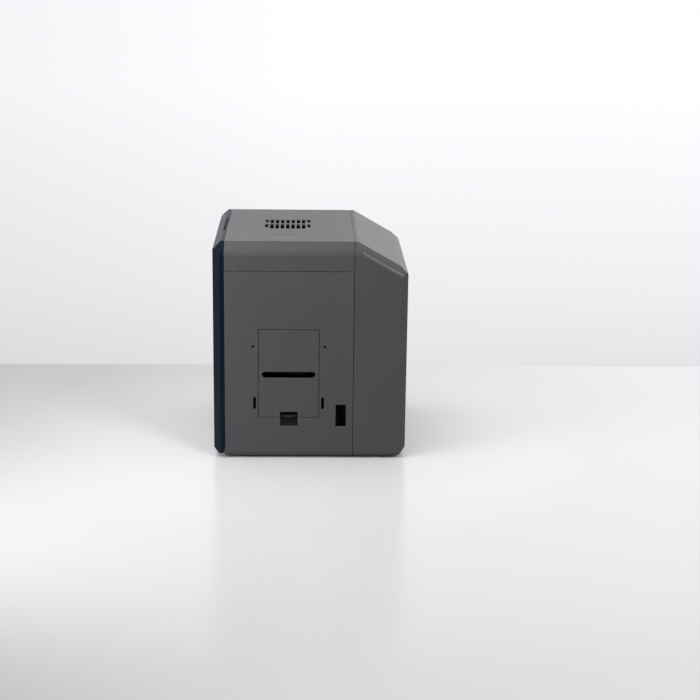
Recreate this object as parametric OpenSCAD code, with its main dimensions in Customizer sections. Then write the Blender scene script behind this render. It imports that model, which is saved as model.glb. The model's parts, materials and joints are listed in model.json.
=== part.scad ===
// Id card printer for retransfer printing: a bench-top case with a drop-down front door,
// a side-hinged top cover, a card hatch on the right side and a sloped rear housing.
// The origin is the middle of the table plane under the case, +Z up, the front faces -Y.

/* [Case] */
// Width of the case
case_w = 308; // [306:1:330]
// Depth of the case, front face to rear face
case_d = 308; // [306:1:330]
// Height from the table to the flat top
case_h = 354; // [350:1:384]
// Thickness of the case shells
wall = 2.8; // [2.4:0.1:3.2]
// Height of the rubber feet
foot_h = 3; // [2.5:0.1:3.7]
// Radius of the rubber feet
foot_r = 9; // [6:0.5:12]
// Width of the seams between the shells
seam = 0.8; // [0.5:0.1:1]
// Chamfer around the front face
front_chamfer = 12.7; // [10:0.1:14]
// Chamfer of the front upright edges
front_side_chamfer = 11; // [8:0.5:13]
// Chamfer of the rear upright edges
rear_side_chamfer = 9.6; // [6:0.1:12]
// Width of the bevel between the top and the sides
shoulder_run = 14.4; // [12:0.1:17]
// Height of the bevel between the top and the sides
shoulder_drop = 16.8; // [14:0.1:19]
// Radius of the blend under that bevel
shoulder_r = 20; // [8:0.1:24]
// Rounding of the lower side edges
base_r = 9; // [6:0.5:12]

/* [Rear housing] */
// Distance from the front face to the seam of the rear housing
seam_from_front = 223; // [216:1:226]
// Distance from the front face to the start of the slope
slope_from_front = 228.8; // [226:0.1:234]
// Length of the slope, seen from above
slope_run = 66.7; // [60:0.1:68]
// Height of the bevel beside the slope, square to it
slope_shoulder_drop = 8.4; // [7:0.1:12]
// Radius of the blend under the bevel beside the slope
slope_shoulder_r = 15.6; // [8:0.1:16]
// Drop of the slope
slope_drop = 38; // [30:0.5:46]
// Drop of the chamfer between the slope and the rear face
rear_top_drop = 12; // [8:0.5:16]
// Run of the chamfer at the bottom of the rear face
rear_base_run = 14.3; // [10:0.1:16]
// Rise of that chamfer
rear_base_rise = 14.5; // [12:0.1:20]

/* [Front door] */
// Depth of the front door
door_t = 17.7; // [17.2:0.1:20]
// Thickness of the door's skin
door_wall = 3; // [2.4:0.1:3.4]
// Gap between the door and the case behind it
door_gap = 0.6; // [0.6:0.1:1.2]
// Radius of the door's rounded foot, about the hinge
door_foot_r = 6.4; // [6:0.1:6.8]
// Height of the door's hinge line above the table
door_hinge_z = 14; // [13.5:0.1:15]
// Distance of the two door hinges from the middle
door_hinge_x = 110; // [90:1:118]
// Width of the pull notch, a scoop in the door's top edge
pull_w = 116; // [80:1:130]
// Depth of the pull notch, front to back
pull_t = 5; // [4.5:0.5:6]
// Depth of the pull notch in its middle
pull_h = 6.5; // [5:0.5:8]
// Width of the card outlet
outlet_w = 80; // [70:1:84]
// Height of the card outlet
outlet_h = 44; // [36:1:50]
// Width of the display window
display_w = 62; // [50:1:66]
// Height of the display window
display_h = 38; // [30:1:40]
// Radius of the push buttons
button_r = 5.5; // [4.5:0.1:6]
// Travel of the push buttons
button_travel = 1.2; // [0.8:0.1:1.3]

/* [Top cover] */
// Height of the seam under the top cover
cover_z = 308.6; // [307:0.1:310]
// Gap behind the cover's flat top
top_gap = 0.3; // [0.3:0.1:0.5]
// Radius of the cover's hinge edge, about the hinge
cover_hinge_r = 5; // [4.8:0.1:5.5]
// Columns of vent slots
vent_columns = 9; // [5:1:11]
// Distance between vent columns
vent_pitch = 8.65; // [8:0.05:10]
// Width of a vent slot
vent_w = 5.7; // [4:0.1:6.2]
// Length of a slot of the near row
vent_near = 39; // [30:1:42]
// Length of a slot of the far row
vent_far = 32; // [26:1:34]
// Width of the thumb dish
dish_w = 43; // [30:1:50]
// Depth of the thumb dish
dish_t = 1.3; // [0.5:0.1:1.4]

/* [Side hatch] */
// Distance from the front face to the hatch
hatch_from_front = 71.4; // [70:0.1:73]
// Width of the hatch
hatch_w = 97.3; // [94:0.1:98]
// Height of the hatch's lower edge above the table
hatch_z = 69.3; // [69:0.1:70]
// Height of the hatch
hatch_h = 145.5; // [142:0.1:148]
// Gap around the hatch
hatch_gap = 0.8; // [0.5:0.1:1]
// Length of the card slot
slot_w = 85.3; // [60:0.1:87]
// Height of the card slot
slot_h = 10; // [8:0.1:14]
// Width of the latch recess
recess_w = 28.2; // [24:0.1:30]
// Height of the latch recess
recess_h = 23.5; // [22:0.1:24]
// Height of the recess above the table
recess_z = 55.1; // [54.5:0.1:56]
// Travel of the latch
latch_travel = 4; // [3:0.1:4]
// Radius of the holes for a docked unit
dock_hole_r = 2; // [1.5:0.1:2.5]
// Distance between the holes for a docked unit
dock_pitch = 113.9; // [110:0.1:116]

/* [Card path] */
// Drop from the flat top to the card path
path_drop = 213.7; // [212:0.1:215]
// Length of a card
card_l = 85.6; // [84:0.1:87]
// Width of a card
card_w = 54; // [52:0.1:55]
// Gap between the two rollers of a nip
nip_gap = 0.8; // [0.8:0.05:1.2]
// Radius of the transport rollers
roller_r = 8; // [7:0.1:8]
// Radius of the roller shafts
shaft_r = 3; // [2.5:0.1:3]
// Radial play of a shaft in its bore
shaft_play = 0.05; // [0.03:0.01:0.08]
// Thickness of the sheet metal of the frames
sheet = 2; // [1.5:0.1:2.4]
// Distance between the frames' inner faces
frame_span = 92; // [92:1:96]
// Radius of the heat roller
heat_r = 12; // [10:0.5:12]
// Radius of the print platen
platen_r = 10; // [9:0.1:10]

/* [Cassettes] */
// Radius of a full roll
full_r = 20; // [17:0.5:20]
// Radius of a take-up roll
takeup_r = 13; // [12:0.5:14]
// Radius of the spool cores
core_r = 9.5; // [9:0.1:10]
// Radius of the drive dogs and studs in the spools
dog_r = 7; // [6:0.1:7.4]
// Thickness of film and ribbon
web_t = 0.3; // [0.2:0.05:0.35]
// Width of film and ribbon
web_w = 56; // [55:0.5:57]
// Travel of the cassettes to come off their drives
cassette_travel = 38; // [20:1:40]

/* [Drive] */
// Teeth of the spool gears
gear_teeth = 48; // [44:4:52]
// Teeth of the motor pinions
pinion_teeth = 12; // [12:1:13]
// Gear module
gear_m = 1; // [0.9:0.05:1]
// Side of the motor bodies
motor_w = 42; // [36:1:42]
// Length of the motor bodies
motor_l = 34; // [28:1:38]
// Thickness of the drive belt
belt_t = 1.2; // [0.8:0.1:1.3]

/* [Rear panel] */
// Side of the fan
fan_w = 60; // [50:1:62]
// Depth of the fan
fan_t = 25; // [15:1:26]
// Width of the mains inlet
inlet_w = 27.5; // [26:0.1:29]
// Height of the mains inlet
inlet_h = 19.8; // [19:0.1:21]
// Height of the rocker switch
switch_h = 19; // [17:0.5:21]
// Swing of the rocker switch to either side
switch_swing = 8; // [5:0.5:9]

/* [Hidden] */
$fn = 48;

// Colours
case_grey = "#4f4f51";
door_navy = "#1a2633";
dark = "#2b2c2e";
metal = "#a9adb1";
rubber = "#222222";
pale = "#d8d6cf";
green = "#1f5b3a";
brass = "#b49a52";

// Case planes
hw = case_w / 2;
front_y = -case_d / 2;
rear_y = case_d / 2;
door_back_y = front_y + door_t;
body_y = door_back_y + door_gap;
seam_y = front_y + seam_from_front;
slope_y = front_y + slope_from_front;
slope_end_y = slope_y + slope_run;
slope_end_z = case_h - slope_drop;
slope_angle = atan2(slope_drop, slope_run);
inner_x = hw - wall;
inner_rear_y = rear_y - wall;
floor_z = foot_h + sheet;
path_z = case_h - path_drop;
far = 400;

// Small distances
fit = 0.3;
boss_r = 4;
arc_steps = 8;

// Helpers for solids between two corners and along each axis

module block(low, high) translate(low) cube(high - low);

module prism_x(x0, x1) {
    translate([x0, 0, 0]) rotate([90, 0, 90]) linear_extrude(height = x1 - x0) children();
}

module prism_y(y0, y1) {
    translate([0, y1, 0]) rotate([90, 0, 0]) linear_extrude(height = y1 - y0) children();
}

module rod_x(x0, x1, y, z, r) translate([x0, y, z]) rotate([0, 90, 0]) cylinder(h = x1 - x0, r = r);

module rod_y(y0, y1, x, z, r) translate([x, y1, z]) rotate([90, 0, 0]) cylinder(h = y1 - y0, r = r);

module rod_z(z0, z1, x, y, r) translate([x, y, z0]) cylinder(h = z1 - z0, r = r);

module both_sides() {
    children();
    mirror([1, 0, 0]) children();
}

// Outlines run counter-clockwise. An inset moves every edge inwards by t.
function edge_normal(p, i) =
    let (d = p[(i + 1) % len(p)] - p[i])
    [-d.y, d.x] / norm(d);
function inset_outline(p, t) = [
    for (i = [0:len(p) - 1])
        let (n1 = edge_normal(p, (i + len(p) - 1) % len(p)), n2 = edge_normal(p, i))
        p[i] + (n1 + n2) * t / (1 + n1 * n2)
];

// Arc that rounds the corner c between its neighbours a and b
function rounded(a, c, b, r) =
    let (
        u = (a - c) / norm(a - c),
        v = (b - c) / norm(b - c),
        half = acos(u * v) / 2,
        o = c + (u + v) / norm(u + v) * r / sin(half),
        start = c + u * r / tan(half) - o,
        first = atan2(start.y, start.x)
    )
    [for (i = [0:arc_steps]) o + r * [cos(first + i * (180 - 2 * half) / arc_steps),
                                      sin(first + i * (180 - 2 * half) / arc_steps)]];

// Outlines of the case from the side, across its width and from above
side_outline = [
    [front_y, foot_h + front_chamfer],
    [front_y + front_chamfer, foot_h],
    [rear_y - rear_base_run, foot_h],
    [rear_y, foot_h + rear_base_rise],
    [rear_y, slope_end_z - rear_top_drop],
    [slope_end_y, slope_end_z],
    [slope_y, case_h],
    [front_y + front_chamfer, case_h],
    [front_y, case_h - front_chamfer]
];
shoulder_z = case_h - shoulder_drop;
function cross_outline(low_z, high_z, r) = concat(
    rounded([-hw, high_z], [-hw, low_z], [hw, low_z], base_r),
    rounded([-hw, low_z], [hw, low_z], [hw, high_z], base_r),
    rounded([hw, low_z], [hw, high_z], [hw - shoulder_run, case_h], r),
    [[hw - shoulder_run, case_h], [shoulder_run - hw, case_h]],
    rounded([shoulder_run - hw, case_h], [-hw, high_z], [-hw, low_z], r)
);
slope_outline = cross_outline(-far, case_h - slope_shoulder_drop, slope_shoulder_r);
plan_outline = [
    [front_side_chamfer - hw, front_y],
    [hw - front_side_chamfer, front_y],
    [hw, front_y + front_side_chamfer],
    [hw, rear_y - rear_side_chamfer],
    [hw - rear_side_chamfer, rear_y],
    [rear_side_chamfer - hw, rear_y],
    [-hw, rear_y - rear_side_chamfer],
    [-hw, front_y + front_side_chamfer]
];

// The whole outer form of the case, moved inwards by t
module envelope(t = 0) {
    intersection() {
        prism_x(-hw, hw) polygon(inset_outline(side_outline, t));
        prism_y(front_y, rear_y) polygon(inset_outline(cross_outline(foot_h, shoulder_z, shoulder_r), t));
        linear_extrude(height = case_h) polygon(inset_outline(plan_outline, t));
        translate([0, slope_y, case_h])
            rotate([-slope_angle, 0, 0])
                translate([0, 0, -case_h])
                    prism_y(-far, far) polygon(inset_outline(slope_outline, t));
    }
}

module shell(t) {
    difference() {
        envelope();
        envelope(t);
    }
}

// Side panels
panel_return = base_r + 5.5;
panel_top_z = cover_z - seam / 2;
panel_rear_y = seam_y - seam / 2;

module panel_blank() {
    intersection() {
        shell(wall);
        block([hw - panel_return, body_y, 0], [hw + 1, panel_rear_y, panel_top_z]);
    }
}

// Hatch, its slot, latch and the docking features of the right side
hatch_y0 = front_y + hatch_from_front;
hatch_y1 = hatch_y0 + hatch_w;
hatch_top = hatch_z + hatch_h;
hatch_mid_y = (hatch_y0 + hatch_y1) / 2;
hatch_round = wall / 2;
hatch_axis_x = hw - hatch_round;
hatch_axis_z = hatch_top - hatch_gap - hatch_round;
hatch_pin_r = 0.75;
hatch_pin_l = 2.5;
recess_top = recess_z + recess_h;
recess_mid_y = hatch_mid_y + 0.4;
recess_y0 = recess_mid_y - recess_w / 2;
recess_y1 = recess_mid_y + recess_w / 2;
latch_t = 2;
latch_x = inner_x - 4.8;
latch_side = 2.8;
latch_z0 = recess_z - 6;
latch_top = recess_top + 2.4;
guide_z1 = hatch_z - 3;
dock_hole_z = hatch_z + 117.2;
dock_slot_w = 4.4;
dock_slot_h = 19.3;
dock_slot_z = hatch_z + 14.2;
dock_slot_pitch = dock_pitch - 5.3;
dock_y0 = front_y + 195.2;
dock_y1 = front_y + 211.8;
dock_z0 = hatch_z - 14.7;
dock_z1 = hatch_z + 21.6;

module hatch_axle(y0, y1, r) rod_y(y0, y1, hatch_axis_x, hatch_axis_z, r);

module latch_guide() {
    difference() {
        block([latch_x - sheet - fit, recess_y0 - 7, latch_z0 - latch_travel],
              [inner_x, recess_y0 - 0.2, guide_z1]);
        block([latch_x - fit, recess_y0 - latch_side - fit, 0],
              [latch_x + latch_t + fit, recess_y0, hatch_z]);
        block([latch_x + latch_t, recess_y0 - 1, 0], [hw, recess_y0, hatch_z]);
    }
}

module latch_guides() {
    latch_guide();
    translate([0, 2 * recess_mid_y, 0]) mirror([0, 1, 0]) latch_guide();
}

// Main board position, shared by its posts on the right panel
board_x = inner_x - 27.2;
board_t = 1.6;
board_y0 = hatch_mid_y + 56;
board_y1 = inner_rear_y - 1;
board_z0 = 26;
board_z1 = 150;
board_posts = [for (y = [board_y0 + 6, seam_y - 7], z = [board_z0 + 6, board_z1 - 6]) [y, z]];

module right_panel() {
    color(case_grey) {
        difference() {
            union() {
                panel_blank();
                latch_guides();
                for (p = board_posts) rod_x(board_x + board_t, inner_x, p.x, p.y, boss_r);
            }
            block([hw - wall - 1, hatch_y0, hatch_z], [hw + 1, hatch_y1, hatch_top]);
            block([hw - wall - 1, recess_y0, recess_z], [hw + 1, recess_y1, hatch_z + 1]);
            block([hw - wall - 1, dock_y0, dock_z0], [hw + 1, dock_y1, dock_z1]);
            for (s = [-1, 1]) {
                rod_x(hw - wall - 1, hw + 1, hatch_mid_y + s * dock_pitch / 2, dock_hole_z, dock_hole_r);
                block([hw - wall - 1, hatch_mid_y + s * dock_slot_pitch / 2 - dock_slot_w / 2, dock_slot_z],
                      [hw + 1, hatch_mid_y + s * dock_slot_pitch / 2 + dock_slot_w / 2, dock_slot_z + dock_slot_h]);
            }
            hatch_axle(hatch_y0 - hatch_pin_l, hatch_y1 + hatch_pin_l, hatch_pin_r + shaft_play);
        }
    }
}

// Hinge of the top cover on the left side
cover_axis_x = cover_hinge_r - hw;
cover_low_z = cover_z + seam / 2;
cover_axis_z = cover_low_z + cover_hinge_r;
knuckle_l = 24;
knuckle_r = cover_hinge_r - 0.4;
ear_l = 14;
cover_pin_r = 2;
knuckle_ys = [body_y + 46, panel_rear_y - 46];

module left_panel() {
    color(case_grey) {
        mirror([1, 0, 0]) panel_blank();
        for (y = knuckle_ys) {
            rod_y(y - knuckle_l / 2, y + knuckle_l / 2, cover_axis_x, cover_axis_z, knuckle_r);
            block([-hw, y - knuckle_l / 2, panel_top_z - 4],
                  [cover_axis_x + 3, y + knuckle_l / 2, cover_axis_z]);
            rod_y(y - knuckle_l / 2 - ear_l, y + knuckle_l / 2 + ear_l, cover_axis_x, cover_axis_z, cover_pin_r);
        }
    }
}

// Top cover
vent_mid_y = front_y + 116.5;
vent_far_x = -44;
vent_near_x = -4;
dish_x = 93;
dish_y = front_y + 113;
dish_sphere_r = (dish_w * dish_w / 4 + dish_t * dish_t) / (2 * dish_t);
cover_rib_t = 2;
cover_rib_h = 7;

module vent_column(i) {
    y = vent_mid_y + (i - (vent_columns - 1) / 2) * vent_pitch;
    short = (i == 0 || i == vent_columns - 1) ? 0.3 : 0;
    block([vent_far_x, y - vent_w / 2, case_h - wall - 1],
          [vent_far_x + vent_far * (1 - short), y + vent_w / 2, case_h + 1]);
    block([vent_near_x, y - vent_w / 2, case_h - wall - 1],
          [vent_near_x + vent_near * (1 - short), y + vent_w / 2, case_h + 1]);
}

module cover_hinge_relief() {
    difference() {
        block([-hw - 1, body_y - 1, cover_z], [cover_axis_x, panel_rear_y + 1, cover_axis_z]);
        rod_y(body_y - 1, panel_rear_y + 1, cover_axis_x, cover_axis_z, cover_hinge_r);
    }
}

module top_cover() {
    color(case_grey) {
        difference() {
            union() {
                intersection() {
                    shell(wall);
                    block([-hw - 1, body_y, cover_low_z], [hw + 1, panel_rear_y, case_h + 1]);
                }
                block([shoulder_run - hw, panel_rear_y - 1, case_h - wall],
                      [hw - shoulder_run, panel_rear_y + seam - top_gap, case_h]);
                for (y = knuckle_ys)
                    rod_y(y - knuckle_l / 2 - ear_l, y + knuckle_l / 2 + ear_l, cover_axis_x, cover_axis_z,
                          cover_hinge_r - 0.2);
                intersection() {
                    envelope(wall / 2);
                    for (x = [-110, -66, 56, 120])
                        block([x, body_y + 6, case_h - wall - cover_rib_h],
                              [x + cover_rib_t, panel_rear_y - 6, case_h - wall / 2]);
                }
            }
            cover_hinge_relief();
            for (y = knuckle_ys) {
                block([-hw - 1, y - knuckle_l / 2 - 0.4, cover_z],
                      [cover_axis_x + cover_hinge_r + 0.4, y + knuckle_l / 2 + 0.4, cover_axis_z + cover_hinge_r + 0.4]);
                rod_y(y - knuckle_l / 2 - ear_l - 1, y + knuckle_l / 2 + ear_l + 1, cover_axis_x, cover_axis_z,
                      cover_pin_r + shaft_play);
            }
            for (i = [0:vent_columns - 1]) vent_column(i);
            translate([dish_x, dish_y, case_h + dish_sphere_r - dish_t]) sphere(r = dish_sphere_r, $fn = 96);
        }
    }
}

module side_hatch() {
    color(case_grey) {
        difference() {
            union() {
                block([inner_x, hatch_y0 + hatch_gap, hatch_z + hatch_gap],
                      [hw, hatch_y1 - hatch_gap, hatch_top - hatch_gap]);
                for (z = [path_z - 24, path_z + 24])
                    block([inner_x - 2, hatch_y0 + 6, z], [inner_x, hatch_y1 - 6, z + 2]);
            }
            difference() {
                block([hatch_axis_x, hatch_y0, hatch_axis_z], [hw + 1, hatch_y1, hatch_top]);
                hatch_axle(hatch_y0, hatch_y1, hatch_round);
            }
            block([inner_x - 1, recess_y0, hatch_z], [hw + 1, recess_y1, recess_top]);
            block([inner_x - 1, hatch_mid_y - (slot_w - slot_h) / 2, path_z - slot_h / 2],
                  [hw + 1, hatch_mid_y + (slot_w - slot_h) / 2, path_z + slot_h / 2]);
            for (s = [-1, 1])
                rod_x(inner_x - 1, hw + 1, hatch_mid_y + s * (slot_w - slot_h) / 2, path_z, slot_h / 2);
        }
        hatch_axle(hatch_y0 + hatch_gap - 1.9, hatch_y0 + hatch_gap + 1, hatch_pin_r);
        hatch_axle(hatch_y1 - hatch_gap - 1, hatch_y1 - hatch_gap + 1.9, hatch_pin_r);
    }
}

// Latch plate with a sloping finger lip that is deepest in its middle. Two noses stand beside the recess.
lip_z = recess_top - 6.2;
lip_half = recess_w / 2 - 0.8;
lip_t = 1.2;
lip_slope = 55;
lip_end = 1.6;
lip_bulge = 3.2;
lip_curve = [
    for (i = [0:arc_steps])
        let (k = 2 * i / arc_steps - 1)
        [lip_end + lip_bulge * (1 - k * k), k * lip_half]
];
function reversed(p) = [for (i = [len(p) - 1:-1:0]) p[i]];

module hatch_latch() {
    color(dark) {
        block([latch_x, recess_y0 - latch_side, latch_z0],
              [latch_x + latch_t, recess_y1 + latch_side, guide_z1]);
        block([latch_x, recess_y0 + 0.6, latch_z0], [latch_x + latch_t, recess_y1 - 0.6, lip_z]);
        for (y = [recess_y0 - latch_side, recess_y1 + 0.4])
            block([latch_x, y, latch_z0], [latch_x + latch_t, y + latch_side - 0.4, latch_top]);
        translate([latch_x + latch_t, recess_mid_y, lip_z])
            rotate([0, lip_slope, 0])
                translate([0, 0, -lip_t])
                    linear_extrude(height = lip_t)
                        polygon(concat([[-1, -lip_half]], lip_curve, [[-1, lip_half]]));
        prism_y(recess_y0 + 0.8, recess_y1 - 0.8)
            polygon([
                [latch_x + 1, latch_z0],
                [inner_x - fit, latch_z0],
                [inner_x - fit, recess_z + 5],
                [latch_x + latch_t, lip_z - lip_t - 2],
                [latch_x + 1, lip_z - lip_t - 2]
            ]);
    }
}

// Female connector set back behind the opening of the docking side
dock_edge = 1.3;
dock_face_x = inner_x - 8;
dock_floor_x = dock_face_x - 7;

module dock_connector() {
    color(rubber) {
        difference() {
            block([board_x + board_t, dock_y0 + dock_edge, dock_z0 + 2],
                  [dock_face_x, dock_y1 - dock_edge, dock_z1 - 2]);
            block([dock_floor_x, dock_y0 + dock_edge + 3, dock_z0 + 6],
                  [inner_x, dock_y1 - dock_edge - 3, dock_z1 - 6]);
        }
        for (i = [0:7])
            block([dock_floor_x - 1, dock_y0 + dock_edge + 5, dock_z0 + 8.2 + i * 2.4],
                  [dock_face_x - 2, dock_y0 + dock_edge + 6, dock_z0 + 9.2 + i * 2.4]);
    }
}

// Mechanism planes and axes. The card runs along X, and all rollers and spools lie along Y.
card_y = hatch_mid_y;
rear_frame_y = card_y + frame_span / 2;
front_frame_y = card_y - frame_span / 2;
low_axis_z = path_z - nip_gap / 2 - roller_r;
high_axis_z = path_z + nip_gap / 2 + roller_r;
roller_half = card_w / 2 + 1;
flip_half = 30;
flipper_x = inner_x - flip_half - 17.2;
feed_x = 71.2 - inner_x;
clean_x = feed_x + 42;
drive_2_x = flipper_x - flip_half - 14;
heat_x = (clean_x + drive_2_x) / 2 + 4;
web_gap = 0.3;
heat_z = path_z + nip_gap / 2 + web_gap * 2 + web_t + heat_r;
platen_x = heat_x + 23;
platen_z = case_h - 98;
film_x = platen_x - 60;
film_supply_at = [film_x, case_h - 80];
film_takeup_at = [film_x, case_h - 154];
film_guide_at = [platen_x + 4, case_h - 172];
film_guide_r = 3;
ribbon_supply_at = [hw - 42, case_h - 72];
ribbon_takeup_at = [hw - 42, case_h - 144];
web_reach = web_gap + web_t / 2;
ribbon_guide_r = 3;
ribbon_line_x = platen_x + platen_r + 3 * web_gap + 1.5 * web_t;
ribbon_guide_x = ribbon_line_x + ribbon_guide_r + web_reach;
ribbon_guide_zs = [case_h - 64, case_h - 136];

// Points and normals of a web or belt that runs past wheels [centre, radius, side].
// Side 1 keeps a wheel on the right of the run, side -1 on its left.
function heading(a, b) = atan2(b.y - a.y, b.x - a.x);
function run_normal(a, b) =
    heading(a[0], b[0]) + acos((a[1] * a[2] - b[1] * b[2]) / norm(b[0] - a[0]));
function on_wheel(w, angle) =
    [w[0] + w[1] * w[2] * [cos(angle), sin(angle)], [cos(angle), sin(angle)]];
function swing(from, to, side) =
    side > 0 ? -((from - to) % 360 + 360) % 360 : ((to - from) % 360 + 360) % 360;
function wheel_arc(w, from, to) =
    let (turn = swing(from, to, w[2]), steps = max(1, ceil(abs(turn) / 15)))
    [for (i = [0:steps]) on_wheel(w, from + turn * i / steps)];
function open_run(w) = concat(
    [on_wheel(w[0], run_normal(w[0], w[1]))],
    [for (i = [1:1:len(w) - 2]) each wheel_arc(w[i], run_normal(w[i - 1], w[i]), run_normal(w[i], w[i + 1]))],
    [on_wheel(w[len(w) - 1], run_normal(w[len(w) - 2], w[len(w) - 1]))]
);
function closed_run(w) = [
    for (i = [0:len(w) - 1])
        let (a = w[(i + len(w) - 1) % len(w)], b = w[(i + 1) % len(w)])
        each wheel_arc(w[i], run_normal(a, w[i]), run_normal(w[i], b))
];
function offset_run(run, t) = [for (q = run) q[0] + q[1] * t];

module open_band(w, t) {
    run = open_run(w);
    polygon(concat(offset_run(run, t / 2), reversed(offset_run(run, -t / 2))));
}

module closed_band(w, t) {
    run = closed_run(w);
    difference() {
        polygon(offset_run(run, t / 2));
        polygon(offset_run(run, -t / 2));
    }
}

// Base pan with the door's hinge tabs, side ledges and rear flange
pan_x = hw - panel_return - fit;
pan_rear_y = rear_y - rear_base_run - fit;
door_axis_y = door_back_y - door_foot_r;
tab_w = 12;
tab_half_t = 2.5;
door_pin_r = 2;
door_pin_l = 6;
ledge_z = foot_h + wall;
flange_z = foot_h + rear_base_rise + 4;
flange_h = 20;
foot_x = hw - 34;
foot_ys = [front_y + 42, rear_y - 42];
low_screw_z = flange_z + 11;
low_screw_xs = [-70, 90];
high_screw_x = hw - 34;
high_screw_z = slope_end_z - 27;
screw_r = 1.5;
screw_head_r = 4;
screw_head_t = 1.4;

module base_pan() {
    color(metal) {
        difference() {
            union() {
                block([-pan_x, body_y, foot_h], [pan_x, pan_rear_y, floor_z]);
                both_sides() {
                    block([pan_x - 3, body_y + 4, foot_h], [pan_x, panel_rear_y, ledge_z + sheet]);
                    block([pan_x - 3, body_y + 4, ledge_z], [hw - base_r - 1, panel_rear_y, ledge_z + sheet]);
                }
                block([-80, pan_rear_y - sheet, foot_h], [100, pan_rear_y, flange_z + sheet]);
                block([-80, pan_rear_y - sheet, flange_z], [100, inner_rear_y, flange_z + sheet]);
                block([-80, inner_rear_y - sheet, flange_z], [100, inner_rear_y, flange_z + flange_h]);
            }
            for (x = low_screw_xs) rod_y(inner_rear_y - sheet - 1, rear_y, x, low_screw_z, screw_r + 0.1);
        }
        both_sides() {
            block([door_hinge_x - tab_w / 2, body_y, foot_h],
                  [door_hinge_x + tab_w / 2, body_y + 3, door_hinge_z + tab_half_t]);
            block([door_hinge_x - tab_w / 2, door_axis_y, door_hinge_z - tab_half_t],
                  [door_hinge_x + tab_w / 2, body_y + 3, door_hinge_z + tab_half_t]);
            rod_x(door_hinge_x - tab_w / 2, door_hinge_x + tab_w / 2, door_axis_y, door_hinge_z, boss_r);
            rod_x(door_hinge_x - tab_w / 2 - door_pin_l, door_hinge_x + tab_w / 2 + door_pin_l,
                  door_axis_y, door_hinge_z, door_pin_r);
        }
    }
}

module feet() {
    color(rubber)
        for (x = [-foot_x, foot_x], y = foot_ys) rod_z(0, foot_h, x, y, foot_r);
}

// Rear housing with its connectors, switch and fan
socket_x = -105;
inlet_z = flange_z + 20;
switch_w = 13;
switch_z = inlet_z + 40;
fan_x = -20;
fan_z = case_h - 135;
port_x0 = board_x - 16;
port_zs = [60, 80, 104];
port_hs = [11, 13.5, 14];

module wall_cut(x0, x1, z0, z1) block([x0, inner_rear_y - 1, z0], [x1, rear_y + 1, z1]);

module rear_housing() {
    color(case_grey) {
        difference() {
            union() {
                intersection() {
                    shell(wall);
                    block([-hw - 1, seam_y + seam / 2, 0], [hw + 1, rear_y + 1, case_h + 1]);
                }
                for (z = [board_z0 + 6, board_z1 - 6]) rod_x(board_x + board_t, inner_x + 0.5, board_y1 - 20, z, boss_r);
            }
            block([-pan_x - fit, seam_y - 1, 0], [pan_x + fit, pan_rear_y + fit, ledge_z + 1.5]);
            wall_cut(socket_x - inlet_w / 2, socket_x + inlet_w / 2, inlet_z - inlet_h / 2, inlet_z + inlet_h / 2);
            wall_cut(socket_x - switch_w / 2 - 1, socket_x + switch_w / 2 + 1,
                     switch_z - switch_h / 2 - 1, switch_z + switch_h / 2 + 1);
            for (i = [0:2]) wall_cut(port_x0 - fit, board_x + fit, port_zs[i] - fit, port_zs[i] + port_hs[i] + fit);
            for (i = [-4:4]) {
                half = sqrt(max(16, (fan_w / 2 - 3) * (fan_w / 2 - 3) - i * i * 36));
                wall_cut(fan_x + i * 6 - 1.6, fan_x + i * 6 + 1.6, fan_z - half, fan_z + half);
            }
            for (i = [0:9]) wall_cut(30 + i * 8, 33 + i * 8, case_h - 160, case_h - 120);
            wall_cut(126, 133, 34, 37);
            for (x = low_screw_xs) screw_hole(x, low_screw_z);
            for (x = [-high_screw_x, high_screw_x]) screw_hole(x, high_screw_z);
        }
    }
}

module screw_hole(x, z) {
    rod_y(inner_rear_y - 1, rear_y + 1, x, z, screw_r + 0.3);
    rod_y(rear_y - screw_head_t, rear_y + 1, x, z, screw_head_r + 0.2);
}

module rear_screw(x, z) {
    difference() {
        rod_y(rear_y - screw_head_t, rear_y, x, z, screw_head_r);
        block([x - 2.6, rear_y - 0.8, z - 0.5], [x + 2.6, rear_y + 1, z + 0.5]);
        block([x - 0.5, rear_y - 0.8, z - 2.6], [x + 0.5, rear_y + 1, z + 2.6]);
    }
    rod_y(rear_y - 10, rear_y - screw_head_t, x, z, screw_r);
}

module rear_screws() {
    color(metal) {
        for (x = low_screw_xs) rear_screw(x, low_screw_z);
        for (x = [-high_screw_x, high_screw_x]) rear_screw(x, high_screw_z);
    }
}

// Front door with its foot bar, pull notch, card outlet, display and buttons
outlet_x = hw - 55;
outlet_z0 = 27;
pull_x = -4;
pull_r = (pull_w * pull_w / 4 + pull_h * pull_h) / (2 * pull_h);
display_x = hw - 114;
display_z = case_h - 75;
glass_t = 1.5;
bezel = 2.5;
button_xs = [display_x + 48, display_x + 66];
power_x = 54 - hw;
power_r = 7.5;
board_low_x = display_x - 39;
board_high_x = display_x + 78;
cap_l = 3.5;
skirt = 1.5;
board_front_y = front_y + 8;
post_ys = [front_y + door_wall, board_front_y];
liner_y0 = door_back_y - 3;
liner_y1 = door_back_y - 0.6;
liner_z = door_hinge_z + 12;
liner_post_x = hw - 34;
liner_post_z = case_h - 129;
liner_posts = [
    [-liner_post_x, 60], [-liner_post_x, case_h - 64],
    [8, 60], [8, liner_post_z],
    [hw - 19, 100], [hw - 19, liner_post_z]
];

module outlet_block(grow, y0, y1) {
    block([outlet_x - outlet_w / 2 - grow, y0, outlet_z0 - grow],
          [outlet_x + outlet_w / 2 + grow, y1, outlet_z0 + outlet_h + grow]);
}

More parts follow.
